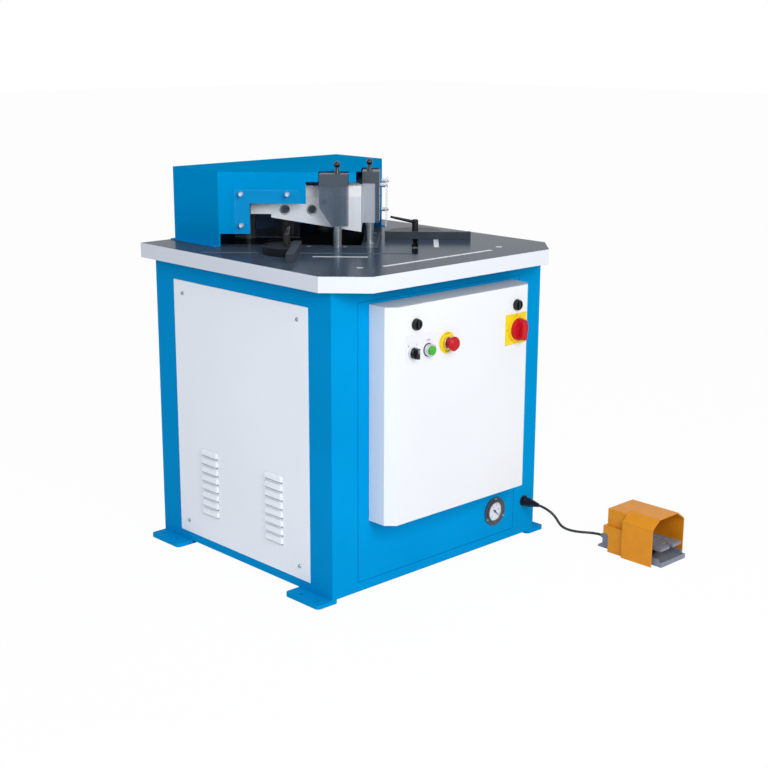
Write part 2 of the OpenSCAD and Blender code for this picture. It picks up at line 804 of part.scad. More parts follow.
module housing() color(blue) difference() {
    union() {
        translate([0, 0, table_top]) linear_extrude(house_h) house_outline();
        both_sides() block([house_w / 2 - house_t / 2, wing_xy(leg_end, -plate_off)[1] + house_t, table_top],
                           [house_w / 2 + house_flange, house_back, table_top + house_t]);
    }
    translate([0, 0, table_top - over]) linear_extrude(house_h - house_t + over) house_inside();
    both_wings() {
        upright(-plate_off - over, house_t - plate_off + over) window_outline();
        block([notch_start, -2 * plate_off, table_top + strip_z - over], [notch_end, guard_gap, house_z + over]);
        shield_screw_places(plate_off) translate([0, 0, -house_t - over]) cylinder(d = shield_screw[0] + slip, h = house_t + 2 * over);
    }
    wing(1) {
        block([-2 * plate_off, -2 * plate_off, table_top + strip_z - over], [notch_end, guard_gap, house_z + over]);
        block([-2 * plate_off, 0, table_top + strip_z - over], [-guard_gap, plate_end, house_z + over]);
    }
}

// Clear side shields on spacers

module side_shields() color(clear) both_wings() difference() {
    upright(-plate_off - standoff - clear_t, -plate_off - standoff)
        translate([clear_start, table_top + clear_z]) square([clear_end - clear_start, clear_top - clear_z]);
    shield_screw_places(plate_off + standoff) translate([0, 0, -over]) cylinder(d = shield_screw[0] + slip, h = clear_t + 2 * over);
}

module shield_screws() color(bright) both_wings() {
    shield_screw_places(plate_off + standoff + clear_t) pan_screw(shield_screw[0], shield_screw[1]);
    shield_screw_places(plate_off) difference() {
        cylinder(d = 2.2 * shield_screw[0], h = standoff);
        translate([0, 0, -over]) cylinder(d = shield_screw[0] + slip, h = standoff + 2 * over);
    }
}

// Tinted guards

knob_base = 14;

module guard_head() {
    difference() {
        block([guard_start, -guard_face, head_z], [guard_end, -guard_gap, guard_top]);
        post_place() translate([0, 0, head_z - over]) cylinder(d = post_pin_d + 2 * run_gap, h = head_h * 0.7 + over);
    }
    post_place() translate([0, 0, guard_top]) {
        cylinder(d1 = ball_d, d2 = ball_d / 2, h = knob_base);
        cylinder(d = ball_d / 2, h = knob_h - ball_d / 2);
        translate([0, 0, knob_h - ball_d / 2]) sphere(d = ball_d);
    }
}

module guard_shield() {
    z0 = table_top + guard_z;
    upright(-guard_face, shield_t - guard_face)
        polygon([[guard_start, z0], [guard_start + 0.57 * guard_w, z0], [guard_end, z0 + 0.64 * guard_w],
                 [guard_end, head_z], [guard_start, head_z]]);
    block([guard_start, shield_t - guard_face - over, z0], [guard_start + shield_t / 2, -guard_gap, head_z]);
}

module guard_post() post_place() {
    translate([0, 0, table_top]) cylinder(d = post_d, h = head_z - table_top);
    translate([0, 0, table_top - post_pin_l]) cylinder(d = post_pin_d, h = head_z - table_top + post_pin_l + 0.6 * head_h);
}

module guard_head_left() color(dark_grey) wing(-1) guard_head();
module guard_head_right() color(dark_grey) wing(1) guard_head();
module guard_shield_left() color(tint) wing(-1) guard_shield();
module guard_shield_right() color(tint) wing(1) guard_shield();
module guard_post_left() color(bright) wing(-1) guard_post();
module guard_post_right() color(bright) wing(1) guard_post();

// Fences on the table slots

fence_z = table_top + body_gap;
bar_screw = 54;
bar_screw_d = 6;
stop_pin_d = 10;
stop_pin_h = 5;
stop_pin_in = 9;

module fence_place(at) { translate([at, -slot_off, fence_z]) children(); }

module bar_screw_places() {
    for (s = [-1, 1]) translate([-flat_off, s * bar_screw, disc_t / 2]) rotate([0, -90, 0]) children();
}

module fence_disc(at) fence_place(at) difference() {
    union() {
        translate([-flat_off, 0, 0]) intersection() {
            cylinder(r = disc_r, h = disc_t, $fn = 96);
            block([0, -disc_r, 0], [disc_r, disc_r, disc_t]);
        }
        translate([disc_r - flat_off - stop_pin_in, 0, disc_t - over]) cylinder(d = stop_pin_d, h = stop_pin_h + over);
    }
    translate([0, 0, -over]) cylinder(d = bolt_d + 2 * run_gap, h = disc_t + 2 * over);
    bar_screw_places() translate([0, 0, -15]) cylinder(d = bar_screw_d, h = 15 + over);
}

module fence_bar(at) fence_place(at) difference() {
    block([-flat_off - bar_w, -bar_out, 0], [-flat_off, bar_in, disc_t]);
    bar_screw_places() {
        translate([0, 0, -over]) cylinder(d = bar_screw_d, h = bar_w + 2 * over);
        translate([0, 0, bar_w - 8]) cylinder(d = 11, h = 8 + over);
    }
}

t_head = 28;
t_head_h = 9;
hub_cap = 8;

module fence_bolt(at) translate([at, -slot_off, 0]) {
    translate([-t_head / 2, -t_head / 2, table_top - slot_ledge - body_gap - t_head_h]) cube([t_head, t_head, t_head_h]);
    translate([0, 0, table_top - slot_ledge - body_gap - over])
        cylinder(d = bolt_d, h = slot_ledge + body_gap + over + disc_t + hub_h - hub_cap);
}

lever_rise = 12;

module fence_lever(at) translate([at, -slot_off, fence_z + disc_t + body_gap]) difference() {
    union() {
        cylinder(d = hub_d, h = hub_h - 3);
        translate([0, 0, hub_h - 3]) cylinder(d1 = hub_d, d2 = hub_d - 6, h = 3);
        translate([0, 0, hub_h - 9]) rotate([lever_rise - 90, 0, 0]) {
            cylinder(d1 = 11, d2 = 7, h = lever_l);
            translate([0, 0, lever_l]) sphere(d = 8);
        }
    }
    translate([0, 0, -over]) cylinder(d = bolt_d + 2 * run_gap, h = hub_h - hub_cap + over);
}

module fence_disc_left() color(black) wing(-1) fence_disc(fence_left);
module fence_disc_right() color(black) wing(1) fence_disc(fence_right);
module fence_bar_left() color(dark_grey) wing(-1) fence_bar(fence_left);
module fence_bar_right() color(dark_grey) wing(1) fence_bar(fence_right);
module fence_bolt_left() color(steel) wing(-1) fence_bolt(fence_left);
module fence_bolt_right() color(steel) wing(1) fence_bolt(fence_right);
module fence_lever_left() color(black) wing(-1) fence_lever(fence_left);
module fence_lever_right() color(black) wing(1) fence_lever(fence_right);

// Control box cover and what it carries

lock_left_x = box_x0 + 92;
lock_right_x = box_x1 - 71;
lock_z = box_top - 54;
lock_shaft_d = 12;
legend_x0 = box_x0 + 54;
legend_w = 102;
legend_h = 76;
legend_z0 = box_top - 158;
legend_t = 1.5;
selector_x = legend_x0 + 25;
start_x = legend_x0 + 84;
control_z = legend_z0 + 28;
stop_x = box_x0 + 212;
stop_z = box_top - 121;
iso_x = box_x1 - 74;
iso_z = box_top - 123;
sleeve_d = 28;
cap_d = 25;
iso_shaft_d = 12;

module cover_outline(inset) {
    b = box_bevel;
    translate([box_x, front_y - cover_gap])
        polygon([[-box_w / 2 + inset, over * inset], [-box_w / 2 + inset, -box_d + b + cover_gap],
                 [-box_w / 2 + b + inset / 2, -box_d + cover_gap + inset], [box_w / 2 - b - inset / 2, -box_d + cover_gap + inset],
                 [box_w / 2 - inset, -box_d + b + cover_gap], [box_w / 2 - inset, over * inset]]);
}

module cover_hole(x, z, d) { on_face(x, z) translate([0, 0, -box_t - over]) cylinder(d = d, h = box_t + 2 * over); }

module box_cover() color(white) difference() {
    union() {
        difference() {
            translate([0, 0, box_z]) linear_extrude(box_h) cover_outline(0);
            translate([0, 0, box_z + box_t]) linear_extrude(box_h - 2 * box_t) cover_outline(box_t);
        }
        for (s = [-1, 1]) cover_hinge(box_x + s * hinge_x);
    }
    for (s = [-1, 1]) along_x(box_x + s * hinge_x, hinge_l) cylinder(d = hinge_pin_d + 2 * run_gap, h = hinge_l);
    for (x = [lock_left_x, lock_right_x]) cover_hole(x, lock_z, lock_shaft_d + 2 * run_gap);
    for (x = [selector_x, start_x]) cover_hole(x, control_z, sleeve_d + slip);
    cover_hole(stop_x, stop_z, sleeve_d + slip);
    cover_hole(iso_x, iso_z, iso_shaft_d + 2 * slip);
}

module cover_hinge(x) {
    l = hinge_l / 2 - 2 * hinge_gap;
    along_x(x, l) cylinder(r = hinge_r - slip, h = l);
    block([x - l / 2, hinge_y - leaf_t, hinge_z], [x + l / 2, hinge_y + leaf_t / 2, box_z + box_t / 2]);
}

module lock(x) on_face(x, lock_z) {
    translate([0, 0, body_gap]) difference() {
        cylinder(d1 = lock_d, d2 = lock_d - 4, h = 10);
        translate([0, 0, 6]) cylinder(d = lock_d - 9, h = 10);
    }
    translate([-3.5, 3 - lock_d / 2, body_gap + 3]) cube([7, lock_d - 6, 9]);
    translate([0, 0, -22]) cylinder(d = lock_shaft_d, h = 23);
    translate([-6, -6, -22]) cube([12, 38, 4]);
}

module lock_left() color(black) lock(lock_left_x);
module lock_right() color(black) lock(lock_right_x);

module legend_plate() color(white) difference() {
    translate([0, face_y, 0]) rotate([90, 0, 0]) linear_extrude(legend_t)
        translate([legend_x0 + legend_w / 2, legend_z0 + legend_h / 2]) round_rect(legend_w, legend_h, 4);
    for (x = [selector_x, start_x]) on_face(x, control_z) translate([0, 0, -over]) cylinder(d = sleeve_d + slip, h = 2 * legend_t + over);
}

// Bezel with a sleeve through the cover and a contact block behind it
module bezel(seat, ring_h) difference() {
    union() {
        translate([0, 0, seat]) cylinder(d = bezel_d, h = ring_h);
        translate([0, 0, -22]) cylinder(d = sleeve_d, h = 22 + seat);
        translate([-15, -20, -52]) cube([30, 40, 32]);
    }
    translate([0, 0, -30]) cylinder(d = cap_d + 2 * run_gap, h = 60);
}

module control_bezels() color(bright) {
    on_face(selector_x, control_z) bezel(legend_t, 8);
    on_face(start_x, control_z) bezel(legend_t, 15);
    on_face(stop_x, stop_z) bezel(stop_disc_t, 9);
}

module selector_knob() color(black) on_face(selector_x, control_z) {
    translate([0, 0, -14]) cylinder(d = cap_d, h = 14 + legend_t + 14);
    translate([-4.5, -14, legend_t + 10]) cube([9, 28, 14]);
}

module start_button() color(green) on_face(start_x, control_z) {
    translate([0, 0, -14]) cylinder(d = cap_d, h = 14 + legend_t + 18);
    translate([0, 0, legend_t + 18]) cylinder(d1 = cap_d, d2 = cap_d - 3, h = 1.5);
}

stop_disc_t = 1.5;

module stop_disc() color(yellow) on_face(stop_x, stop_z) difference() {
    cylinder(d = stop_disc_d, h = stop_disc_t);
    translate([0, 0, -over]) cylinder(d = sleeve_d + slip, h = stop_disc_t + 2 * over);
}

module stop_button() color(red) on_face(stop_x, stop_z) {
    translate([0, 0, -14]) cylinder(d = cap_d, h = 38);
    translate([0, 0, 20]) cylinder(d1 = 30, d2 = stop_d, h = 4);
    translate([0, 0, 24]) cylinder(d = stop_d, h = 6);
    translate([0, 0, 30]) cylinder(d1 = stop_d, d2 = stop_d - 12, h = 6);
}

iso_plate_t = 3;
iso_ring_h = 9;

module isolator_plate() color(yellow) on_face(iso_x, iso_z) difference() {
    union() {
        linear_extrude(iso_plate_t) round_rect(iso_plate, iso_plate, 3);
        cylinder(d = iso_d + 8, h = iso_plate_t + iso_ring_h);
    }
    translate([0, 0, -over]) cylinder(d = iso_shaft_d + 2 * run_gap, h = 30);
}

module isolator_handle() color(red) on_face(iso_x, iso_z) {
    seat = iso_plate_t + iso_ring_h + body_gap;
    translate([0, 0, seat]) cylinder(d1 = iso_d, d2 = iso_d - 4, h = 10);
    translate([0, 0, seat + 8]) linear_extrude(16) round_rect(22, iso_d - 6, 10);
    translate([0, 0, -40]) cylinder(d = iso_shaft_d, h = 41 + seat);
}

gear_y = front_y - 8;
gear_t = 2;
gear_post_d = 12;
post_in = 15;

module gear_box(x, z, w, h, d) {
    block([x - w / 2, gear_y - gear_t - weld_gap - d, z - h / 2], [x + w / 2, gear_y - gear_t - weld_gap, z + h / 2]);
}

module electrical_plate() color(bright) {
    cz = box_z + 0.36 * box_h;
    w = 0.7 * box_w;
    h = 0.53 * box_h;
    deep = 0.7 * box_d;
    block([box_x - w / 2, gear_y - gear_t, cz - h / 2], [box_x + w / 2, gear_y, cz + h / 2]);
    for (sx = [-1, 1], sz = [-1, 1])
        translate([box_x + sx * (w / 2 - post_in), gear_y - over, cz + sz * (h / 2 - post_in)]) rotate([-90, 0, 0])
            cylinder(d = gear_post_d, h = front_y - gear_y + over);
    for (i = [-1 : 1]) gear_box(box_x + (0.15 * i - 0.22) * w, cz + h / 4, 0.11 * w, h / 4, deep);
    gear_box(box_x + 0.3 * w, cz + 0.22 * h, 0.24 * w, 0.28 * h, deep);
    gear_box(box_x, cz - 0.28 * h, 0.75 * w, 0.13 * h, deep / 2);
}

// Pressure gauge

gauge_flange_t = 4;
gauge_body_d = dial_d + 6;
gauge_screw = [4, 10];
gauge_ring_w = 3;
gauge_ring_h = 3;
dial_z = 0.5;
spindle_d = 3;

module gauge_place() { translate([gauge_x, front_y, gauge_z]) rotate([90, 0, 0]) children(); }

module gauge_screw_places() {
    gauge_place() for (a = [90, 210, 330]) rotate([0, 0, a]) translate([(gauge_d + gauge_body_d) / 4 + gauge_ring_w / 2, 0, 0]) children();
}

module gauge_case() color(bright) difference() {
    gauge_place() {
        cylinder(d = gauge_d, h = gauge_flange_t);
        translate([0, 0, -46]) cylinder(d = gauge_body_d, h = 46 + gauge_flange_t);
        cylinder(d = gauge_body_d + 2 * gauge_ring_w, h = gauge_flange_t + gauge_ring_h);
        translate([0, 0, -60]) cylinder(d = 14, h = 20);
    }
    gauge_place() {
        translate([0, 0, dial_z]) cylinder(d = dial_d, h = 20);
        translate([0, 0, -8]) cylinder(d = spindle_d + 2 * run_gap, h = 20);
    }
    gauge_screw_places() translate([0, 0, -over]) cylinder(d = gauge_screw[0] + slip, h = gauge_flange_t + 2 * over);
}

module gauge_needle() color(black) gauge_place() {
    translate([0, 0, -6]) cylinder(d = spindle_d, h = dial_z + 9.5);
    translate([0, 0, dial_z + 2]) cylinder(d = 8, h = 2);
    translate([0, 0, dial_z + 2]) rotate([0, 0, -42]) linear_extrude(1.2)
        polygon([[-9, -1.8], [-9, 1.8], [dial_d / 2 - 4, 0.5], [dial_d / 2 - 4, -0.5]]);
}

// Hydraulic set on the cabinet floor

tank_x0 = -0.43 * cab_w;
tank_x1 = -0.048 * cab_w;
tank_y0 = -0.32 * cab_d;
tank_y1 = 0.217 * cab_d;
tank_z0 = foot_t + wall;
tank_h = 0.346 * cab_top;
tank_z1 = tank_z0 + tank_h;
tank_wall = 4;
motor_x = -0.281 * cab_w;
motor_y = -0.089 * cab_d;
motor_d = 165;
motor_h = 250;
motor_flange = 35;
fin_n = 9;
fin_pitch = 20;
pump_d = 100;
pump_h = 0.5 * tank_h;
valve_x = -0.108 * cab_w;
valve_y = 0.127 * cab_d;

module oil_tank() color(grey_cast) difference() {
    block([tank_x0, tank_y0, tank_z0], [tank_x1, tank_y1, tank_z1]);
    block([tank_x0 + tank_wall, tank_y0 + tank_wall, tank_z0 + tank_wall],
          [tank_x1 - tank_wall, tank_y1 - tank_wall, tank_z1 - tank_wall]);
    translate([motor_x, motor_y, tank_z1 - tank_wall - over]) cylinder(d = 1.3 * pump_d, h = tank_wall + 2 * over);
}

module pump_motor() color(grey_cast) translate([motor_x, motor_y, tank_z1]) {
    cylinder(d = motor_d + motor_flange, h = 12);
    cylinder(d = motor_d - 14, h = motor_h);
    for (i = [0 : fin_n - 1]) translate([0, 0, 2 * fin_pitch + fin_pitch * i]) cylinder(d = motor_d, h = 0.3 * fin_pitch);
    translate([0, 0, motor_h - motor_flange]) cylinder(d = motor_d + 4, h = motor_flange + fin_pitch);
    translate([-motor_d / 4, -motor_d / 2 - 32, 0.36 * motor_h]) cube([motor_d / 2, 50, 0.28 * motor_h]);
    translate([0, 0, -pump_h]) cylinder(d = pump_d, h = pump_h + over);
}

valve_w = 90;
valve_h = 70;

module valve_block() color(bright) translate([valve_x, valve_y, tank_z1]) {
    translate([-valve_w / 2, -valve_w / 2, 0]) cube([valve_w, valve_w, valve_h]);
    for (s = [-1, 1]) translate([s * 24, -valve_w / 2, valve_h - 24]) rotate([90, 0, 0]) cylinder(d = 40, h = 60);
}

// Hard tube: straight runs with a ball elbow at each turn
module tube(points, d) {
    for (i = [0 : len(points) - 2]) tube_run(points[i], points[i + 1], d);
    for (i = [1 : len(points) - 2]) translate(points[i]) sphere(d = 1.3 * d);
}

module tube_run(a, b, d) {
    v = b - a;
    l = norm(v);
    translate(a) rotate([0, acos(v[2] / l), atan2(v[1], v[0])]) cylinder(d = d, h = l);
}

pipe_d = 16;
line_d = 8;
port_y = drive_y - cyl_bore / 2 - cyl_wall;

module pipes() color(steel) {
    up_z = guide_z - 45;
    down_z = guide_z - cyl_l + 45;
    line_z = tank_z1 + 30;
    line_y = valve_y - 30;
    bend_y = valve_y + 20;
    tube([[valve_x - 20, bend_y, tank_z1 + valve_h], [valve_x - 20, bend_y, up_z],
          [0, bend_y, up_z], [0, port_y, up_z]], pipe_d);
    tube([[valve_x + 24, bend_y, tank_z1 + valve_h], [valve_x + 24, bend_y, down_z],
          [0, bend_y, down_z], [0, port_y, down_z]], pipe_d);
    tube([[valve_x + valve_w / 2, line_y, line_z], [gauge_x, line_y, line_z],
          [gauge_x, line_y, gauge_z], [gauge_x, front_y + 60, gauge_z]], line_d);
}

// Foot pedal

pedal_y0 = -pedal_front;
pedal_y1 = pedal_y0 + 196;
pedal_floor = 6;
pedal_rim = 22;
pedal_lip = 14;
pivot_y = pedal_y0 + 156;
pivot_z = 48;
trunnion_d = 8;
tread_w = pedal_w - 18;
tread_l = 146;
tread_t = 8;
toe_gap = 16;
toe_gap_l = 26;
hood_y0 = pedal_y0 + 23;
hood_y1 = pedal_y0 + 131;
hood_y2 = pedal_y0 + 189;
hood_top_w = 92;
back_w = hood_w - 20;
back_top_w = back_w - 20;
back_h = hood_h - 6;
band_low = 56;
band_high = 81;
band_out = 18;
upper_out = 10;
inlet_x = -27;
inlet_w = 46;
inlet_h = 46;
inlet_l = 28;
cord_z = 28;
gland_l = 20;

module pedal_place() { translate([pedal_x, 0, 0]) children(); }

module pedal_base() color(grey_cast) pedal_place() difference() {
    union() {
        difference() {
            block([-pedal_w / 2, pedal_y0, 0], [pedal_w / 2, pedal_y1, pedal_rim]);
            block([-pedal_w / 2 + 4, pedal_y0 + 4, pedal_floor], [pedal_w / 2 - 4, pedal_y1 - 4, pedal_rim + over]);
            block([-pedal_w, pedal_y0 - over, pedal_lip], [pedal_w, pedal_y0 + 12, pedal_rim + over]);
        }
        for (s = [-1, 1]) {
            block([s * (tread_w / 2 + 6) - 5, pivot_y - 12, 0], [s * (tread_w / 2 + 6) + 5, pivot_y + 12, pivot_z + 10]);
            for (y = [hood_y0 + 20, hood_y2 - 45])
                block([s > 0 ? pedal_w / 2 - over : hood_t - hood_side(y), y, 0],
                      [s > 0 ? hood_side(y) - hood_t : over - pedal_w / 2, y + 18, 8]);
        }
        block([inlet_x - inlet_w / 2, pedal_y1 - over, 0], [inlet_x + inlet_w / 2, pedal_y1 + inlet_l, inlet_h]);
        block([inlet_x - inlet_w / 2, pedal_y1 - over, 0], [inlet_x + inlet_w / 2, pedal_y1 + inlet_l + 16, pedal_floor]);
    }
    translate([-pedal_w, pivot_y, pivot_z]) rotate([0, 90, 0]) cylinder(d = trunnion_d + 2 * run_gap, h = 2 * pedal_w);
    translate([inlet_x, pedal_y1 - 20, cord_z]) rotate([-90, 0, 0]) cylinder(d = 16, h = inlet_l + 20 + over);
}

// Half width of the hood at its foot
function hood_side(y) = y < hood_y1 - 20 ? hood_w / 2 : back_w / 2;

// Cross section of the hood: upright sides, sloped shoulders, flat top
module hood_front_section(inset) {
    polygon([[-hood_w / 2 + inset, -over * inset], [-hood_w / 2 + inset, hood_shoulder - inset / 2],
             [-hood_top_w / 2 + inset / 2, hood_h - inset], [hood_top_w / 2 - inset / 2, hood_h - inset],
             [hood_w / 2 - inset, hood_shoulder - inset / 2], [hood_w / 2 - inset, -over * inset]]);
}

// Back of the hood: lower box, a band that stands out over the cord inlet, a narrower upper box
module hood_back(inset) {
    half = back_w / 2 - inset;
    top_half = back_top_w / 2 - inset;
    y0 = hood_y1 - over - inset;
    block([-half, y0, -over * inset], [half, hood_y2 - inset, band_high - inset]);
    block([-half, y0, band_low + inset], [half, hood_y2 + band_out - inset, band_high - inset]);
    block([-top_half, y0, band_high - inset - over], [top_half, hood_y2 + upper_out - inset, back_h - inset]);
}

module pedal_hood() color(orange) pedal_place() difference() {
    union() {
        upright(hood_y0, hood_y1) hood_front_section(0);
        hood_back(0);
    }
    upright(hood_y0 - over, hood_y1 - hood_t) hood_front_section(hood_t);
    hood_back(hood_t);
    block([-pedal_w / 2 - slip, hood_y2 - 2 * hood_t, -over], [pedal_w / 2 + slip, hood_y2 + over, pedal_rim + slip]);
    block([inlet_x - inlet_w / 2 - slip, hood_y2 - 2 * hood_t, -over], [inlet_x + inlet_w / 2 + slip, hood_y2 + over, inlet_h + slip]);
}

module pedal_treadle() color(grey_cast) pedal_place() translate([0, pivot_y, pivot_z]) {
    difference() {
        union() {
            block([-tread_w / 2, -tread_l, -tread_t / 2], [tread_w / 2, 10, tread_t / 2]);
            for (i = [0 : 11])
                block([-tread_w / 2 + 3, -tread_l + 4 + 11 * i, 0], [tread_w / 2 - 3, -tread_l + 10 + 11 * i, tread_t / 2 + 2]);
        }
        block([-toe_gap / 2, -tread_l - over, -tread_t], [toe_gap / 2, toe_gap_l - tread_l, tread_t]);
    }
    rotate([0, 90, 0]) translate([0, 0, -tread_w / 2 - 10]) cylinder(d = trunnion_d, h = tread_w + 20);
}

module pedal_switch() color(black) pedal_place() {
    block([-18, pivot_y - 80, pedal_floor], [18, pivot_y - 30, pedal_floor + 22]);
    translate([0, pivot_y - 55, pedal_floor + 21]) cylinder(d = 9, h = 7);
}

plug_l = 60;
socket_flange = 4;

module socket_place() { translate([socket_x, front_y, socket_z]) rotate([90, 0, 0]) children(); }

module pedal_socket() color(black) socket_place() difference() {
    union() {
        cylinder(d = socket_d + 8, h = socket_flange);
        translate([0, 0, -28]) cylinder(d = socket_d, h = 29);
    }
    translate([0, 0, -14]) cylinder(d = socket_d - 8 + slip, h = 14 + socket_flange + over);
}

module pedal_plug() color(black) socket_place() {
    translate([0, 0, -12]) cylinder(d = socket_d - 8, h = 13 + socket_flange);
    translate([0, 0, socket_flange]) cylinder(d = socket_d, h = 24);
    translate([0, 0, socket_flange + 24]) cylinder(d1 = socket_d, d2 = cord_d + 4, h = plug_l - socket_flange - 24);
}

module pedal_gland() color(grey_cast) translate([pedal_x + inlet_x, pedal_y1 + inlet_l, cord_z]) rotate([-90, 0, 0]) difference() {
    union() {
        translate([0, 0, -16]) cylinder(d = 16 - slip, h = 17);
        cylinder(d = 22, h = 7, $fn = 6);
        translate([0, 0, 7]) cylinder(d1 = 18, d2 = cord_d + 4, h = gland_l - 7);
    }
    translate([0, 0, -17]) cylinder(d = cord_d + 1, h = 10 + gland_l);
}

// Cord of the pedal: rings on hand-chosen points from the plug to the gland
plug_end = [socket_x, front_y - plug_l, socket_z];
gland_end = [pedal_x + inlet_x, pedal_y1 + inlet_l + gland_l, cord_z];
cord_between = [[371.9, -464.5, 114.9], [374.2, -476, 111.8], [377.6, -486.6, 106.9], [381.6, -496, 100.4], [386, -503.8, 92.2],
    [390.4, -509.6, 82.5], [395.3, -513.6, 72.1], [401.6, -516.9, 62.3], [409.7, -520.6, 54.1], [419.1, -524.8, 47.6],
    [429.2, -529.3, 42.5], [439.5, -534.1, 38.3], [450, -539.2, 34.9], [460.4, -544.8, 32.2], [470.6, -551.1, 30.2],
    [480.1, -558.6, 28.8], [488.2, -567.6, 28.1], [494, -578.2, 27.9], [497.1, -589.9, 27.9]];
cord_route = concat([plug_end], cord_between, [gland_end]);
cord_sides = 10;

function unit(v) = v / norm(v);
function cord_dir(i) =
    i == 0 ? [0, -1, 0] :
    i == len(cord_route) - 1 ? [0, -1, 0] :
    unit(cord_route[i + 1] - cord_route[i - 1]);
function cord_ring(i) =
    let (t = cord_dir(i), s = unit(cross(t, [0, 0, 1])), u = cross(s, t))
    [for (k = [0 : cord_sides - 1])
        cord_route[i] + cord_d / 2 * (cos(360 * k / cord_sides) * s + sin(360 * k / cord_sides) * u)];

module pedal_cord() color(dark_grey) {
    n = len(cord_route);
    m = cord_sides;
    skin = [for (i = [0 : n - 2], k = [0 : m - 1])
        [i * m + k, i * m + (k + 1) % m, (i + 1) * m + (k + 1) % m, (i + 1) * m + k]];
    first = [for (k = [0 : m - 1]) m - 1 - k];
    last = [for (k = [0 : m - 1]) (n - 1) * m + k];
    polyhedron(points = [for (i = [0 : n - 1]) each cord_ring(i)], faces = concat([first], skin, [last]));
}

base_frame();
front_panel();
side_panels();
rear_panel();
panel_screws();
table_plate();
table_screws();
lower_blades();
table_scales();
ram();
upper_blades();
blade_bolts();
guide_columns();
guide_bushes();
guide_block();
hydraulic_cylinder();
piston_rod();
housing();
side_shields();
shield_screws();
guard_head_left();
guard_head_right();
guard_shield_left();
guard_shield_right();
guard_post_left();
guard_post_right();
fence_disc_left();
fence_disc_right();
fence_bar_left();
fence_bar_right();
fence_bolt_left();
fence_bolt_right();
fence_lever_left();
fence_lever_right();
box_cover();
lock_left();
lock_right();
legend_plate();
control_bezels();
selector_knob();
start_button();
stop_disc();
stop_button();
isolator_plate();
isolator_handle();
electrical_plate();
gauge_case();
gauge_needle();
oil_tank();
pump_motor();
valve_block();
pipes();
pedal_base();
pedal_hood();
pedal_treadle();
pedal_switch();
pedal_socket();
pedal_plug();
pedal_cord();
pedal_gland();
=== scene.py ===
import math

import bmesh
import bpy
from mathutils import Matrix, Vector


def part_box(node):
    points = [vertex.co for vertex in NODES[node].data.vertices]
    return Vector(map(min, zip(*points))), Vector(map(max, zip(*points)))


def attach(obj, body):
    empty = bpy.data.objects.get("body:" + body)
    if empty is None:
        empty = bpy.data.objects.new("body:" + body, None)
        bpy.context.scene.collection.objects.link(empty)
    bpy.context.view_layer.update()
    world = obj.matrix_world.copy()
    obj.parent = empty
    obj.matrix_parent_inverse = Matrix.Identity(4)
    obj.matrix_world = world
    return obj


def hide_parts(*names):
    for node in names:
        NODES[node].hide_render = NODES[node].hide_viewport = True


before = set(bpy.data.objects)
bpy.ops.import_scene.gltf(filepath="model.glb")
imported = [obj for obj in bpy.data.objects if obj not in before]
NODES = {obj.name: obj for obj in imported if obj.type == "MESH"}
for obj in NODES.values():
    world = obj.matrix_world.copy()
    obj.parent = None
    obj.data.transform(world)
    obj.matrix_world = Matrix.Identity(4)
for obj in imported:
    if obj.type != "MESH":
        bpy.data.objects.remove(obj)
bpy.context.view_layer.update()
MM = 0.001
HALF_ROOT = math.sqrt(0.5)

# Places that looks and pieces share

APEX_Y = -56 * MM
CAB_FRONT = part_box("base_frame")[0].y
COVER_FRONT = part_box("box_cover")[0].y
COVER_FOOT = 212 * MM
LOUVRE_COUNT = 8
LOUVRE_PITCH = 26 * MM
LOUVRE_COLUMN = 148 * MM
LOUVRE_FIRST = 85 * MM
LOUVRE_PROUD = 5 * MM
INK_T = 0.15 * MM


# Camera at the photograph's viewing angle

FRAME_PX = 768
FOCAL_PX = 1391.2
SENSOR_MM = 36.0
AZIMUTH, PITCH, ROLL = (math.radians(a) for a in (-43.7, 14.2, 0.23))
CAMERA_AT = (-2.7603, -3.0437, 1.5183)


def make_camera():
    level = math.cos(PITCH)
    back = Vector((math.sin(AZIMUTH) * level, -math.cos(AZIMUTH) * level, math.sin(PITCH)))
    right = Vector((math.cos(AZIMUTH), math.sin(AZIMUTH), 0))
    up = back.cross(right)
    tilted_right = right * math.cos(ROLL) + up * math.sin(ROLL)
    tilted_up = up * math.cos(ROLL) - right * math.sin(ROLL)
    data = bpy.data.cameras.new("camera")
    data.sensor_width = SENSOR_MM
    data.lens = FOCAL_PX / FRAME_PX * SENSOR_MM
    data.clip_end = 100
    cam = bpy.data.objects.new("camera", data)
    turn = Matrix((tilted_right, tilted_up, back)).transposed().to_4x4()
    cam.matrix_world = Matrix.Translation(CAMERA_AT) @ turn
    bpy.context.scene.collection.objects.link(cam)
    bpy.context.scene.camera = cam


# Colours and shader building blocks

# Noise scales of paint, plastic and sheet
SLOW_DRIFT = 2.5
ROUGH_PATCHES = 40
ORANGE_PEEL = 900
MOULD_DRIFT = 25
MOULD_PATCHES = 90
MOULD_GRAIN = 700
SMEAR = 14
# Depth of the finest relief
PEEL_DEPTH = 0.1 * MM


def rgb(r, g, b):
    """Linear colour from the 0 to 255 values that a picture shows."""

    def linear(v):
        v /= 255
        return v / 12.92 if v <= 0.04045 else ((v + 0.055) / 1.055) ** 2.4

    return (linear(r), linear(g), linear(b), 1.0)


def shade(color, factor):
    return tuple(min(1.0, c * factor) for c in color[:3]) + (1.0,)


def grey(level):
    return (level, level, level, 1.0)


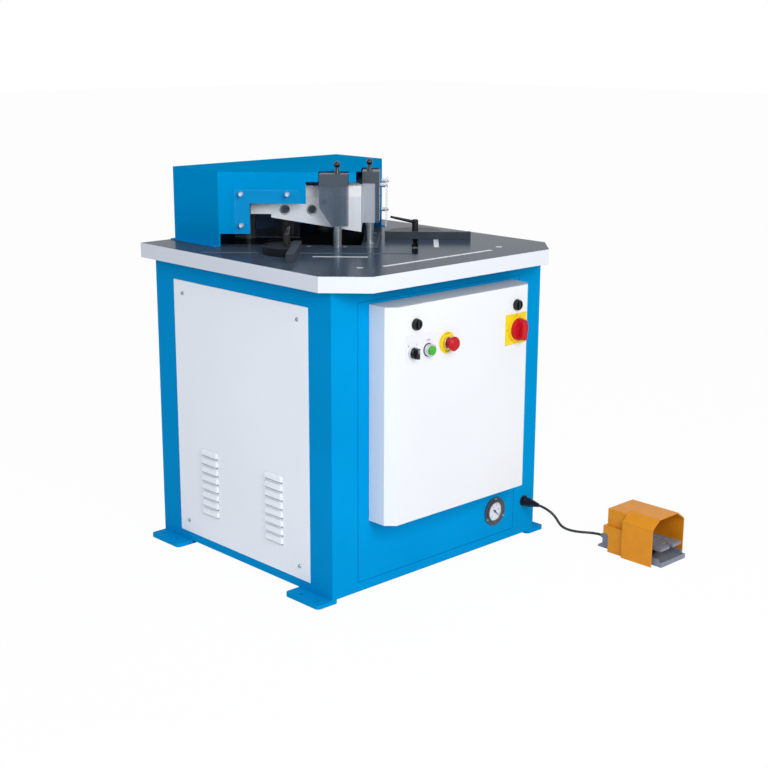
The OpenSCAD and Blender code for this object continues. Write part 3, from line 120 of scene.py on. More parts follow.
class Look:
    """A Principled material under construction, with object coordinates at hand."""

    def __init__(self, name):
        self.material = bpy.data.materials.new(name)
        self.material.use_nodes = True
        self.tree = self.material.node_tree
        self.shader = self.tree.nodes["Principled BSDF"]
        self.place = self.add("ShaderNodeTexCoord").outputs["Object"]

    def add(self, kind, **settings):
        node = self.tree.nodes.new(kind)
        for key, value in settings.items():
            setattr(node, key, value)
        return node

    def link(self, output, target):
        self.tree.links.new(output, target)

    def set(self, **values):
        for key, value in values.items():
            self.shader.inputs[key.replace("_", " ")].default_value = value
        return self

    def noise(self, scale, detail=3.0, stretch=(1, 1, 1)):
        mapping = self.add("ShaderNodeMapping")
        mapping.inputs["Scale"].default_value = stretch
        self.link(self.place, mapping.inputs["Vector"])
        node = self.add("ShaderNodeTexNoise")
        node.inputs["Scale"].default_value = scale
        node.inputs["Detail"].default_value = detail
        self.link(mapping.outputs["Vector"], node.inputs["Vector"])
        return node.outputs["Fac"]

    def axis(self, name):
        split = self.add("ShaderNodeSeparateXYZ")
        self.link(self.place, split.inputs[0])
        return split.outputs[name]

    def normal(self):
        split = self.add("ShaderNodeSeparateXYZ")
        self.link(self.add("ShaderNodeTexCoord").outputs["Normal"], split.inputs[0])
        return split.outputs

    def math(self, kind, a, b):
        node = self.add("ShaderNodeMath", operation=kind)
        for slot, value in zip(node.inputs, (a, b)):
            if isinstance(value, (int, float)):
                slot.default_value = value
            else:
                self.link(value, slot)
        return node.outputs[0]

    def ramp(self, fac, stops):
        node = self.add("ShaderNodeValToRGB")
        elements = node.color_ramp.elements
        while len(elements) < len(stops):
            elements.new(0.5)
        for element, (at, color) in zip(elements, stops):
            element.position = at
            element.color = color
        self.link(fac, node.inputs["Fac"])
        return node.outputs["Color"]

    def tone(self, fac, color, drift):
        """The colour, drifting a little darker and paler with the value."""
        return self.ramp(fac, [(0.3, shade(color, 1 - drift)), (0.7, shade(color, 1 + drift))])

    def spread(self, fac, low, high):
        node = self.add("ShaderNodeMapRange")
        node.inputs["To Min"].default_value = low
        node.inputs["To Max"].default_value = high
        self.link(fac, node.inputs["Value"])
        return node.outputs["Result"]

    def mix(self, fac, a, b):
        node = self.add("ShaderNodeMix", data_type="RGBA")
        for slot, value in ((node.inputs[0], fac), (node.inputs[6], a), (node.inputs[7], b)):
            if isinstance(value, (tuple, float, int)):
                slot.default_value = value
            else:
                self.link(value, slot)
        return node.outputs[2]

    def color(self, socket):
        self.link(socket, self.shader.inputs["Base Color"])
        return self

    def roughness(self, socket):
        self.link(socket, self.shader.inputs["Roughness"])
        return self

    def relief(self, height, strength, edge, depth=PEEL_DEPTH):
        """Bump from a height, over edges that are rounded by the given radius."""
        bevel = self.add("ShaderNodeBevel", samples=4)
        bevel.inputs["Radius"].default_value = edge
        bump = self.add("ShaderNodeBump")
        bump.inputs["Strength"].default_value = strength
        bump.inputs["Distance"].default_value = depth
        self.link(height, bump.inputs["Height"])
        self.link(bevel.outputs["Normal"], bump.inputs["Normal"])
        self.link(bump.outputs["Normal"], self.shader.inputs["Normal"])
        return self


def powder_paint(name, color, rough=0.38, edge=1.5 * MM, drift=0.05, peel=0.12, gloss=0.4, inner=None):
    """Powder coat: slow drift of tone, fine orange peel, softly rounded sheet edges.

    Inner is a mask and a darker colour that is painted where the mask is one, as painted shade on faces
    that lie in shade.
    """
    look = Look(name)
    paint = look.tone(look.noise(SLOW_DRIFT, 4), color, drift)
    if inner:
        mask, painted_shade_color = inner
        paint = look.mix(mask(look), paint, painted_shade_color)
    look.color(paint)
    look.roughness(look.spread(look.noise(ROUGH_PATCHES), rough - 0.06, rough + 0.06))
    look.set(Specular_IOR_Level=gloss)
    return look.relief(look.noise(ORANGE_PEEL, 2), strength=peel, edge=edge)


def brushed(name, color, rough=0.3, stretch=(1, 60, 60), metallic=1.0, drift=0.18):
    """Ground or brushed metal: long grain across the stretch axis."""
    look = Look(name)
    grain = look.noise(ROUGH_PATCHES, 4, stretch)
    look.color(look.ramp(grain, [(0.25, shade(color, 1 - drift)), (0.75, shade(color, 1 + drift))]))
    look.roughness(look.spread(grain, rough - 0.07, rough + 0.1))
    look.set(Metallic=metallic)
    return look.relief(grain, strength=0.25, edge=0.6 * MM, depth=PEEL_DEPTH / 2)


def moulded(name, color, rough=0.4, grain=MOULD_GRAIN, strength=0.15, drift=0.08, gloss=0.3):
    """Moulded plastic or a casting with a fine grain."""
    look = Look(name)
    look.color(look.tone(look.noise(MOULD_DRIFT), color, drift))
    look.roughness(look.spread(look.noise(MOULD_PATCHES), rough - 0.07, rough + 0.07))
    look.set(Specular_IOR_Level=gloss)
    return look.relief(look.noise(grain, 2), strength=strength, edge=0.8 * MM)


def glass_look():
    """Gauge glass: nearly unseen face on, and paler at its rim where the view grazes it, as a painted
    reflection.
    """
    look = Look("gauge_glass")
    face_alpha, rim_alpha = 0.02, 0.2
    smear = look.noise(SMEAR, 4)
    look.color(look.tone(smear, rgb(240, 244, 248), 0.02))
    look.roughness(look.spread(smear, 0.03, 0.09))
    facing = look.add("ShaderNodeLayerWeight")
    facing.inputs["Blend"].default_value = 0.25
    alpha = look.spread(facing.outputs["Facing"], face_alpha, rim_alpha)
    look.link(alpha, look.shader.inputs["Alpha"])
    return look


BLUE = rgb(0, 146, 209)
# Darker copy of the blue paint, painted shade on the housing's inner faces
HOUSING_SHADE_BLUE = rgb(6, 110, 186)
WHITE = rgb(229, 232, 236)
# Lighter copy of the white paint, painted light on the dimmer side panels, the rear panel and the louvre
# hoods
LIT_PANEL_WHITE = rgb(246, 249, 253)
# Darker copy of the white paint, painted shade so that the strongly lit table edge stays below white
RIM_WHITE_SHADED = rgb(224, 228, 234)
TABLE_GREY = rgb(62, 75, 91)
# Near-black painted shade on the table under the housing and ram
TABLE_SHADE = rgb(20, 22, 26)
SLOT_GREY = rgb(92, 100, 112)
# Near-black painted shade in the louvre slots of the side panels
LOUVRE_SHADE = rgb(16, 22, 38)
CAST_GREY = rgb(128, 137, 152)
BLACK = rgb(22, 23, 26)
DARK_GREY = rgb(60, 70, 82)
ORANGE = rgb(222, 142, 26)
YELLOW = rgb(240, 208, 24)
RED = rgb(186, 18, 30)
GREEN = rgb(64, 170, 40)


def wing_axes(look):
    """Distances along the right and the left wing from the cutting apex."""
    x = look.axis("X")
    y = look.math("SUBTRACT", look.axis("Y"), APEX_Y)
    right = look.math("MULTIPLY", look.math("ADD", y, x), HALF_ROOT)
    left = look.math("MULTIPLY", look.math("SUBTRACT", y, x), HALF_ROOT)
    return right, left


def least(look, values):
    """Smallest of several sockets."""
    total = values[0]
    for value in values[1:]:
        total = look.math("MINIMUM", total, value)
    return total


def size_of(look, axis):
    """Distance from the middle plane across an axis."""
    return look.math("ABSOLUTE", look.axis(axis), 0)


def inside_housing(look):
    """One on the housing's inner faces, zero on its outer skin: where the housing paint takes its
    painted shade.
    """
    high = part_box("housing")[1]
    skin, flange, plate_off = 1.5 * MM, 16 * MM, 50 * MM
    walls = [look.math("SUBTRACT", high.x - flange - skin, size_of(look, "X")),
             look.math("SUBTRACT", high.y - skin, look.axis("Y")),
             look.math("SUBTRACT", high.z - skin, look.axis("Z"))]
    plates = [look.math("ADD", value, plate_off - skin) for value in wing_axes(look)]
    return look.math("GREATER_THAN", least(look, walls + plates), 0)


def inside_louvres(look):
    """One behind the side panels' skin at the two louvre columns, where the slots take near-black
    painted shade.
    """
    skin, reach = 0.5 * MM, 42 * MM
    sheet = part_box("side_panels")[1].x - LOUVRE_PROUD
    depth = look.math("SUBTRACT", sheet - skin, size_of(look, "X"))
    shift = look.math("SUBTRACT", size_of(look, "Y"), LOUVRE_COLUMN)
    beside = look.math("SUBTRACT", reach, look.math("ABSOLUTE", shift, 0))
    return look.math("GREATER_THAN", least(look, [depth, beside]), 0)


def table_look():
    """Ground slate-grey top, white rim, near-black painted shade on the faces behind the cutting lines
    inside the housing, steel slot walls.
    """
    look = Look("table_finish")
    low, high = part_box("table_plate")
    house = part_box("housing")[1]
    skin, chamfer, blade_edge = 1 * MM, 100 * MM, 2 * MM
    corner = high.x - low.y - chamfer
    top = look.math("GREATER_THAN", look.normal()["Z"], 0.5)
    half = size_of(look, "X")
    sides = [look.math("SUBTRACT", high.x - skin, half),
             look.math("ADD", look.axis("Y"), -low.y - skin),
             look.math("SUBTRACT", high.y - skin, look.axis("Y")),
             look.math("SUBTRACT", corner - skin, look.math("SUBTRACT", half, look.axis("Y")))]
    core = look.math("GREATER_THAN", least(look, sides), 0)
    indoors = [look.math("SUBTRACT", house.x, half), look.math("SUBTRACT", house.y, look.axis("Y"))]
    shade_under_housing = look.math("GREATER_THAN", least(look, list(wing_axes(look)) + indoors), blade_edge)
    grain_scale, grain_stretch, rim_drift = 30, (4, 70, 4), 3
    grain = look.noise(grain_scale, 4, grain_stretch)
    ground = look.ramp(grain, [(0.2, shade(TABLE_GREY, 0.88)), (0.8, shade(TABLE_GREY, 1.14))])
    rim = look.ramp(look.noise(rim_drift), [(0.3, shade(RIM_WHITE_SHADED, 0.97)), (0.7, RIM_WHITE_SHADED)])
    flank = look.mix(core, rim, SLOT_GREY)
    look.color(look.mix(shade_under_housing, look.mix(top, flank, ground), TABLE_SHADE))
    smooth = look.ramp(grain, [(0, grey(0.14)), (1, grey(0.24))])
    look.roughness(look.mix(top, grey(0.42), smooth))
    look.set(Specular_IOR_Level=0.015)
    return look.relief(grain, strength=0.2, edge=1.2 * MM, depth=0.04 * MM)


def guard_head_look():
    """Satin grey block with a black ball knob on top."""
    look = Look("guard_head_plastic")
    knob_h, lift = 35 * MM, 0.2 * MM
    block_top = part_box("guard_head_left")[1].z - knob_h
    knob = look.math("GREATER_THAN", look.axis("Z"), block_top + lift)
    look.color(look.mix(knob, look.tone(look.noise(MOULD_DRIFT), DARK_GREY, 0.07), BLACK))
    look.roughness(look.mix(knob, grey(0.42), grey(0.2)))
    return look.relief(look.noise(MOULD_GRAIN, 2), strength=0.12, edge=0.8 * MM)


def clear_sheet_look():
    """Clear acrylic: the faces are nearly unseen and the sawn edges are pale."""
    look = Look("clear_sheet")
    face_alpha, edge_alpha, face_turn = 0.004, 0.4, -0.25
    normal = look.normal()
    turned = look.math("MULTIPLY", normal["X"], normal["Y"])
    side = look.math("SIGN", look.axis("X"), 0)
    sawn = look.math("GREATER_THAN", look.math("MULTIPLY", turned, side), face_turn)
    smear = look.noise(SMEAR, 4)
    look.color(look.tone(smear, rgb(226, 232, 242), 0.03))
    look.roughness(look.spread(smear, 0.05, 0.12))
    look.link(look.spread(sawn, face_alpha, edge_alpha), look.shader.inputs["Alpha"])
    return look.set(Specular_IOR_Level=0.2)


def guard_sheet_look():
    """Smoked acrylic: the thick front plate hides more than the thin end wall, and the thin end wall is
    painted pale grey as painted light on that wall.
    """
    look = Look("tinted_sheet")
    plate_alpha, wall_alpha = 0.64, 0.45
    end_wall, plate_back = 42.2 * MM, -39 * MM
    right, left = wing_axes(look)
    near_end = look.math("LESS_THAN", look.math("MAXIMUM", right, left), end_wall)
    behind = look.math("GREATER_THAN", look.math("MINIMUM", right, left), plate_back)
    thin = look.math("MULTIPLY", near_end, behind)
    smear = look.noise(SMEAR, 4)
    # Pale grey on the thin end wall is painted light; the front plate keeps the smoked tint
    look.color(look.mix(thin, look.tone(smear, rgb(88, 102, 119), 0.05), rgb(212, 218, 228)))
    look.roughness(look.spread(smear, 0.1, 0.2))
    look.link(look.spread(thin, plate_alpha, wall_alpha), look.shader.inputs["Alpha"])
    return look.set(Specular_IOR_Level=0.3)


ANY_WAY = (30, 30, 30)
TURNED = (20, 20, 20)

LOOKS = {
    "blue": powder_paint("blue_paint", BLUE, rough=0.5, gloss=0.01),
    "housing": powder_paint("housing_paint", BLUE, rough=0.46, drift=0.04, gloss=0.0,
                            inner=(inside_housing, HOUSING_SHADE_BLUE)),
    "white": powder_paint("white_paint", WHITE, rough=0.42, drift=0.02),
    "side_panel": powder_paint("side_panel_paint", LIT_PANEL_WHITE, rough=0.42, drift=0.02,
                               inner=(inside_louvres, LOUVRE_SHADE)),
    "panel": powder_paint("panel_paint", LIT_PANEL_WHITE, rough=0.42, drift=0.02),
    "legend": brushed("legend_metal", rgb(228, 231, 236), rough=0.4, metallic=0.05, drift=0.02),
    # Near-white, above the white paint: painted light that makes up for the shade of the housing and
    # guards on the ram
    "ram": powder_paint("ram_paint", rgb(248, 250, 253), rough=0.4, drift=0.02),
    "table": table_look(),
    # Near-white base on the ground steel: a painted reflection of the bright studio
    "blade": brushed("blade_steel", rgb(226, 230, 236), rough=0.36, metallic=0.2, drift=0.05),
    "low_blade": brushed("lower_blade_steel", rgb(74, 84, 96), rough=0.3, metallic=0.2),
    "screw": brushed("screw_steel", rgb(214, 217, 221), rough=0.3, stretch=ANY_WAY, metallic=0.5),
    "panel_screw": brushed("zinc_screw", rgb(158, 164, 174), rough=0.34, stretch=ANY_WAY, metallic=0.5),
    "bolt": brushed("blackened_bolt", rgb(62, 68, 78), rough=0.45, stretch=ANY_WAY, metallic=0.4),
    "scale": brushed("scale_metal", rgb(228, 231, 235), rough=0.38, metallic=0.1, drift=0.03),
    "chrome": brushed("polished_chrome", rgb(205, 209, 214), rough=0.16, stretch=TURNED, drift=0.05),
    "post": brushed("ground_post", rgb(138, 148, 154), rough=0.26, stretch=(3, 3, 90), metallic=0.85,
                    drift=0.1),
    # Dark steel: painted shade on the guide columns and piston rod inside the machine
    "column": brushed("shaded_column", rgb(34, 37, 42), rough=0.34, stretch=(3, 3, 60), metallic=0.3),
    "bronze": brushed("bush_bronze", rgb(176, 134, 72), rough=0.35),
    "cast": moulded("cast_iron", rgb(92, 96, 102), rough=0.6, grain=300, strength=0.4),
    "guard": guard_head_look(),
    "tint": guard_sheet_look(),
    "clear": clear_sheet_look(),
    "glass": glass_look(),
    "fence": moulded("blackened_steel", rgb(24, 27, 33), rough=0.4, grain=300, gloss=0.1),
    "fence_bar": moulded("bar_steel", rgb(58, 64, 72), rough=0.4, grain=300, gloss=0.1),
    "black": moulded("black_plastic", BLACK, rough=0.34),
    "socket": moulded("plug_plastic", rgb(20, 26, 42), rough=0.3),
    "green": moulded("green_cap", GREEN, rough=0.25, strength=0.05),
    "yellow": moulded("yellow_plastic", YELLOW, rough=0.35),
    "red": moulded("red_plastic", RED, rough=0.28, strength=0.06, gloss=0.2),
    "gauge": brushed("gauge_steel", rgb(74, 80, 92), rough=0.4, stretch=TURNED, metallic=0.4),
    "dial": powder_paint("dial_enamel", rgb(226, 231, 237), rough=0.3, edge=0.2 * MM, drift=0.01,
                         peel=0.03),
    "ink": moulded("printing_ink", rgb(28, 30, 34), rough=0.5, strength=0.05),
    "gear": moulded("switchgear_grey", rgb(182, 186, 190), rough=0.5),
    "pedal": moulded("pedal_casting", CAST_GREY, rough=0.45, grain=420, strength=0.35),
    "orange": moulded("orange_hood", ORANGE, rough=0.4, drift=0.05, gloss=0.22),
    "tread": moulded("tread_casting", rgb(128, 130, 142), rough=0.45, grain=420, strength=0.3),
    "rubber": moulded("cord_rubber", rgb(46, 49, 56), rough=0.36, grain=900),
}

NODE_LOOKS = {
    "blue": ["base_frame", "front_panel"],
    "housing": ["housing"],
    "white": ["box_cover"],
    "side_panel": ["side_panels"],
    "panel": ["rear_panel"],
    "legend": ["legend_plate"],
    "ram": ["ram"],
    "table": ["table_plate"],
    "blade": ["upper_blades"],
    "low_blade": ["lower_blades"],
    "screw": ["table_screws", "shield_screws"],
    "panel_screw": ["panel_screws"],
    "bolt": ["blade_bolts", "fence_bolt_left", "fence_bolt_right"],
    "scale": ["table_scales"],
    "chrome": ["control_bezels"],
    "post": ["guard_post_left", "guard_post_right"],
    "column": ["guide_columns", "piston_rod"],
    "bronze": ["guide_bushes"],
    "cast": ["guide_block", "hydraulic_cylinder", "oil_tank", "pump_motor", "valve_block", "pipes"],
    "guard": ["guard_head_left", "guard_head_right"],
    "tint": ["guard_shield_left", "guard_shield_right"],
    "clear": ["side_shields"],
    "fence": ["fence_disc_left", "fence_disc_right"],
    "fence_bar": ["fence_bar_left", "fence_bar_right"],
    "black": ["fence_lever_left", "fence_lever_right", "lock_left", "lock_right", "selector_knob",
              "gauge_needle", "pedal_switch"],
    "socket": ["pedal_socket", "pedal_plug"],
    "green": ["start_button"],
    "yellow": ["stop_disc", "isolator_plate"],
    "red": ["stop_button", "isolator_handle"],
    "gauge": ["gauge_case"],
    "gear": ["electrical_plate"],
    "pedal": ["pedal_base", "pedal_gland"],
    "orange": ["pedal_hood"],
    "tread": ["pedal_treadle"],
    "rubber": ["pedal_cord"],
}


def dress_nodes():
    for look, names in NODE_LOOKS.items():
        for name in names:
            node = NODES[name]
            node.data.materials.clear()
            node.data.materials.append(LOOKS[look].material)


# The pedal's cord

CORD_D = 8 * MM
CORD_ROUTE_MM = [
    (371, -452.5, 116), (371.9, -464.5, 114.9), (374.2, -476, 111.8), (377.6, -486.6, 106.9),
    (381.6, -496, 100.4), (386, -503.8, 92.2), (390.4, -509.6, 82.5), (395.3, -513.6, 72.1),
    (401.6, -516.9, 62.3), (409.7, -520.6, 54.1), (419.1, -524.8, 47.6), (429.2, -529.3, 42.5),
    (439.5, -534.1, 38.3), (450, -539.2, 34.9), (460.4, -544.8, 32.2), (470.6, -551.1, 30.2),
    (480.1, -558.6, 28.8), (488.2, -567.6, 28.1), (494, -578.2, 27.9), (497.1, -589.9, 27.9),
    (498, -602, 28),
]


def make_cord():
    points = [Vector(p) * MM for p in CORD_ROUTE_MM]
    data = bpy.data.curves.new("cord", "CURVE")
    data.dimensions = "3D"
    data.bevel_depth = CORD_D / 2
    data.bevel_resolution = 5
    data.resolution_u = 6
    data.use_fill_caps = True
    spline = data.splines.new("BEZIER")
    spline.bezier_points.add(len(points) - 1)
    for bezier, point in zip(spline.bezier_points, points):
        bezier.co = point
        bezier.handle_left_type = bezier.handle_right_type = "AUTO"
    data.materials.append(LOOKS["rubber"].material)
    cord = bpy.data.objects.new("pedal_cord_flex", data)
    bpy.context.scene.collection.objects.link(cord)
    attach(cord, "machine")
    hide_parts("pedal_cord")


# Detail pieces on the CAD bodies


def make_piece(name, bm, look, body):
    mesh = bpy.data.meshes.new(name)
    bm.to_mesh(mesh)
    bm.free()
    mesh.materials.append(LOOKS[look].material)
    piece = bpy.data.objects.new(name, mesh)
    bpy.context.scene.collection.objects.link(piece)
    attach(piece, body)


def front_frame(x, y, z):
    """Place on a front face: x to the right, y up, z out to the operator."""
    return Matrix(((1, 0, 0, x), (0, 0, -1, y), (0, 1, 0, z), (0, 0, 0, 1)))


def add_bar(bm, low, high, place):
    """Box between two corners, in a local frame."""
    low, high = Vector(low), Vector(high)
    middle = Matrix.Translation((low + high) / 2)
    size = Matrix.Diagonal((*(high - low), 1))
    bmesh.ops.create_cube(bm, size=1, matrix=place @ middle @ size)


def add_plate(bm, outline_mm, thick, place):
    """Thin plate of the given outline, in a local frame."""
    lower = [bm.verts.new(place @ Vector((x * MM, y * MM, 0))) for x, y in outline_mm]
    upper = [bm.verts.new(place @ Vector((x * MM, y * MM, thick))) for x, y in outline_mm]
    bm.faces.new(lower[::-1])
    bm.faces.new(upper)
    for k, vert in enumerate(lower):
        bm.faces.new((lower[k - 1], vert, upper[k], upper[k - 1]))


def add_lathe(bm, profile, place, steps):
    """Closed profile of radius and height turned round the local z."""
    rings = []
    for step in range(steps):
        turn = 2 * math.pi * step / steps
        across, up = math.cos(turn), math.sin(turn)
        rings.append([bm.verts.new(place @ Vector((r * across, r * up, z))) for r, z in profile])
    count = len(profile)
    for step in range(steps):
        near, far = rings[step], rings[(step + 1) % steps]
        for k in range(count):
            bm.faces.new((near[k], far[k], far[(k + 1) % count], near[(k + 1) % count]))


# Font size for a capital of height one
FONT_SIZE = 1.4


def add_words(bm, words, height, thick, place):
    """Raised lettering centred on the local origin."""
    data = bpy.data.curves.new("words", "FONT")
    data.body = words
    data.size = height * FONT_SIZE
    data.extrude = thick / 2
    data.align_x = "CENTER"
    data.align_y = "CENTER"
    data.resolution_u = 3
    carrier = bpy.data.objects.new("words", data)
    mesh = bpy.data.meshes.new_from_object(carrier)
    mesh.transform(place @ Matrix.Translation((0, 0, thick / 2)))
    bm.from_mesh(mesh)
    bpy.data.objects.remove(carrier)
    bpy.data.curves.remove(data)
    bpy.data.meshes.remove(mesh)


def centre(node):
    low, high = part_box(node)
    return (low + high) / 2


def make_gauge():
    """Enamelled dial with graduations and numbers, under a domed glass."""
    middle = centre("gauge_case")
    place = front_frame(middle.x, CAB_FRONT, middle.z)
    radius, spindle, chamfer = 28.8 * MM, 1.8 * MM, 0.6 * MM
    back, shoulder, face = 0.5 * MM, 1.5 * MM, 1.7 * MM
    dial = bmesh.new()
    add_lathe(dial, [(spindle, back), (radius, back), (radius, shoulder), (radius - chamfer, face),
                     (spindle, face)], place, steps=64)
    make_piece("gauge_dial", dial, "dial", "machine")
    zero, sweep, divisions, per_number, per_half = 228, 270, 50, 10, 5
    mark_r, number_r, number_h = 26.5 * MM, 16 * MM, 4.2 * MM
    long_r, half_r, short_r = 20.5 * MM, 23.5 * MM, 24.5 * MM
    bold, fine, per_unit = 0.45 * MM, 0.25 * MM, 2
    marks = bmesh.new()
    for k in range(divisions + 1):
        major, middling = k % per_number == 0, k % per_half == 0
        inner = long_r if major else half_r if middling else short_r
        half = bold if major else fine
        spoke = place @ Matrix.Rotation(math.radians(zero - sweep * k / divisions), 4, "Z")
        add_bar(marks, (inner, -half, face), (mark_r, half, face + INK_T), spoke)
    for k in range(0, divisions + 1, per_number):
        turn = math.radians(zero - sweep * k / divisions)
        at = Matrix.Translation((number_r * math.cos(turn), number_r * math.sin(turn), face))
        add_words(marks, str(k // per_unit), number_h, INK_T, place @ at)
    make_piece("gauge_marks", marks, "ink", "machine")
    base, rim_h, dome_h, eye = 5.2 * MM, 0.6 * MM, 0.9 * MM, 0.6 * MM
    angles = (math.pi / 2, 1.2, 0.8, 0.4, 0.02)
    dome = [(radius * math.sin(a), base + rim_h + dome_h * math.cos(a)) for a in angles]
    glass = bmesh.new()
    add_lathe(glass, [(eye, base), (radius, base)] + dome, place, steps=48)
    make_piece("gauge_glass", glass, "glass", "machine")


def make_scale_marks():
    """Graduations and numbers on the three inlaid table scales."""
    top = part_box("table_scales")[1].z
    thick, step, per_number = 0.12 * MM, 5 * MM, 10
    half, foot, number_h, number_y = 0.15 * MM, -7 * MM, 3 * MM, 2 * MM
    long_mark, short_mark = 5 * MM, 3 * MM
    front_off, front_l, wing_l = 103 * MM, 420 * MM, 145 * MM
    marks = bmesh.new()

    def ruler(place, length):
        count = int(length / step)
        for k in range(count + 1):
            major = k % per_number == 0
            head = foot + (long_mark if major else short_mark)
            x = (k - count / 2) * step
            add_bar(marks, (x - half, foot, 0), (x + half, head, thick), place)
            if major and 0 < k < count:
                at = place @ Matrix.Translation((x, number_y, 0))
                add_words(marks, str(round(k * step / MM)), number_h, thick, at)

    front_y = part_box("table_plate")[0].y + front_off
    ruler(Matrix.Translation((0, front_y, top)), front_l)
    along, out = 49.5 * MM, -221 * MM
    for side in (-1, 1):
        at = Vector((side * (along - out) * HALF_ROOT, APEX_Y + (along + out) * HALF_ROOT, top))
        ruler(Matrix.Translation(at) @ Matrix.Rotation(side * math.pi / 4, 4, "Z"), wing_l)
    make_piece("scale_marks", marks, "ink", "machine")


def make_fence_screws():
    """Socket screws that hold each fence bar to its half disc."""
    rim, chamfer, key, eye = 5.2 * MM, 0.6 * MM, 2.6 * MM, 0.4 * MM
    bottom, key_floor, shoulder, head = -7.6 * MM, -4.6 * MM, -2.2 * MM, -1.6 * MM
    profile = [(eye, bottom), (rim, bottom), (rim, shoulder), (rim - chamfer, head), (key, head),
               (key, key_floor), (eye, key_floor)]
    bar_off, screw_off = 35 * MM, 54 * MM
    for side, name in ((-1, "left"), (1, "right")):
        bar_low, bar_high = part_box("fence_bar_" + name)
        bolt = centre("fence_bolt_" + name)
        middle = Vector((bolt.x, bolt.y, (bar_low.z + bar_high.z) / 2))
        along = Vector((side * HALF_ROOT, HALF_ROOT, 0))
        across = Vector((-side * HALF_ROOT, HALF_ROOT, 0))
        out = (-along).to_track_quat("Z", "Y").to_matrix().to_4x4()
        screws = bmesh.new()
        for shift in (-screw_off, screw_off):
            at = middle - along * bar_off + across * shift
            add_lathe(screws, profile, Matrix.Translation(at) @ out, steps=24)
        make_piece("fence_screws_" + name, screws, "bolt", "fence_" + name)


def make_control_marks():
    """Switch marks and the stop lettering."""
    selector, start, stop = centre("selector_knob"), centre("start_button"), centre("stop_button")
    isolator = centre("isolator_plate")
    legend_y, disc_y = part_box("legend_plate")[0].y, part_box("stop_disc")[0].y
    isolator_t = 3 * MM
    isolator_y = COVER_FRONT - isolator_t
    aside, above, start_above = 15 * MM, 20 * MM, 27 * MM
    stop_off, isolator_off = 24.5 * MM, 40.2 * MM
    small, middling, large = 5 * MM, 6 * MM, 6.4 * MM
    words = [("0", middling, (selector.x - aside, legend_y, selector.z + above)),
             ("1", middling, (selector.x + aside, legend_y, selector.z + above)),
             ("ON", middling, (start.x, legend_y, selector.z + start_above)),
             ("STOP", small, (stop.x, disc_y, stop.z + stop_off)),
             ("STOP", small, (stop.x, disc_y, stop.z - stop_off)),
             ("0", large, (isolator.x - isolator_off, isolator_y, isolator.z)),
             ("1", large, (isolator.x, isolator_y, isolator.z + isolator_off))]
    marks = bmesh.new()
    for word, height, at in words:
        add_words(marks, word, height, INK_T, front_frame(*at))
    make_piece("control_marks", marks, "ink", "box_door")


def make_start_seal():
    """Rubber ring round the start button's bezel."""
    start = centre("start_button")
    inner, outer, chamfer = 17.1 * MM, 18.6 * MM, 0.5 * MM
    shoulder, top = 1.2 * MM, 1.8 * MM
    seal = bmesh.new()
    add_lathe(seal, [(inner, 0), (outer, 0), (outer, shoulder), (outer - chamfer, top), (inner, top)],
              front_frame(start.x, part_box("legend_plate")[0].y, start.z), steps=40)
    make_piece("start_seal", seal, "black", "box_door")


def make_selector_pointer():
    """White arrow on the selector's grip."""
    knob = centre("selector_knob")
    arrow_mm = [(-0.7, 1), (0.7, 1), (0.7, 8.5), (1.6, 8.5), (0, 12), (-1.6, 8.5), (-0.7, 8.5)]
    pointer = bmesh.new()
    place = front_frame(knob.x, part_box("selector_knob")[0].y, knob.z)
    add_plate(pointer, arrow_mm, thick=0.2 * MM, place=place)
    make_piece("selector_pointer", pointer, "dial", "selector")


def add_hood(bm, place, width, height, depth):
    """Closed louvre hood, deepest at its lower lip, with rounded ends, faired into the sheet above."""
    across, up = 28, 12
    end_l, sink = height / 2, 0.3 * MM
    taper, narrowing = 0.5, 0.75
    rows = []
    for j in range(up + 1):
        t = j / up
        row = []
        for i in range(across + 1):
            s = 2 * i / across - 1
            end = max(0.0, (abs(s) * width / 2 - width / 2 + end_l) / end_l)
            bulge = (1 - taper * t) * math.sqrt(1 - t ** 6) * math.sqrt(max(0.0, 1 - end ** 3))
            rise = t * height * math.sqrt(max(0.0, 1 - narrowing * end ** 2))
            row.append(bm.verts.new(place @ Vector((s * width / 2, rise, depth * bulge))))
        rows.append(row)
    for low, high in zip(rows, rows[1:]):
        for i in range(across):
            face = bm.faces.new((low[i], low[i + 1], high[i + 1], high[i]))
            face.smooth = True
    steps = [i / across - 0.5 for i in range(across + 1)]
    back = [bm.verts.new(place @ Vector((width * step, 0, -sink))) for step in steps]
    for i in range(across):
        bm.faces.new((back[i], back[i + 1], rows[0][i + 1], rows[0][i]))
    left, right = [row[0] for row in rows], [row[-1] for row in rows]
    bm.faces.new(left + rows[-1][1:-1] + right[::-1] + back[::-1])


def make_louvre_hoods():
    """Pressed hoods over the louvre slots of both side panels."""
    low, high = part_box("side_panels")
    width, height, depth, lip_drop = 82 * MM, 18 * MM, LOUVRE_PROUD + 1.5 * MM, 2 * MM
    first = low.z + LOUVRE_FIRST - lip_drop
    hoods = bmesh.new()
    for side in (-1, 1):
        sheet = side * (high.x - LOUVRE_PROUD)
        for shift in (-LOUVRE_COLUMN, LOUVRE_COLUMN):
            for k in range(LOUVRE_COUNT):
                z = first + k * LOUVRE_PITCH
                place = Matrix(((0, 0, side, sheet), (side, 0, 0, shift), (0, 1, 0, z), (0, 0, 0, 1)))
                add_hood(hoods, place, width, height, depth)
    bmesh.ops.recalc_face_normals(hoods, faces=hoods.faces)
    make_piece("louvre_hoods", hoods, "panel", "machine")


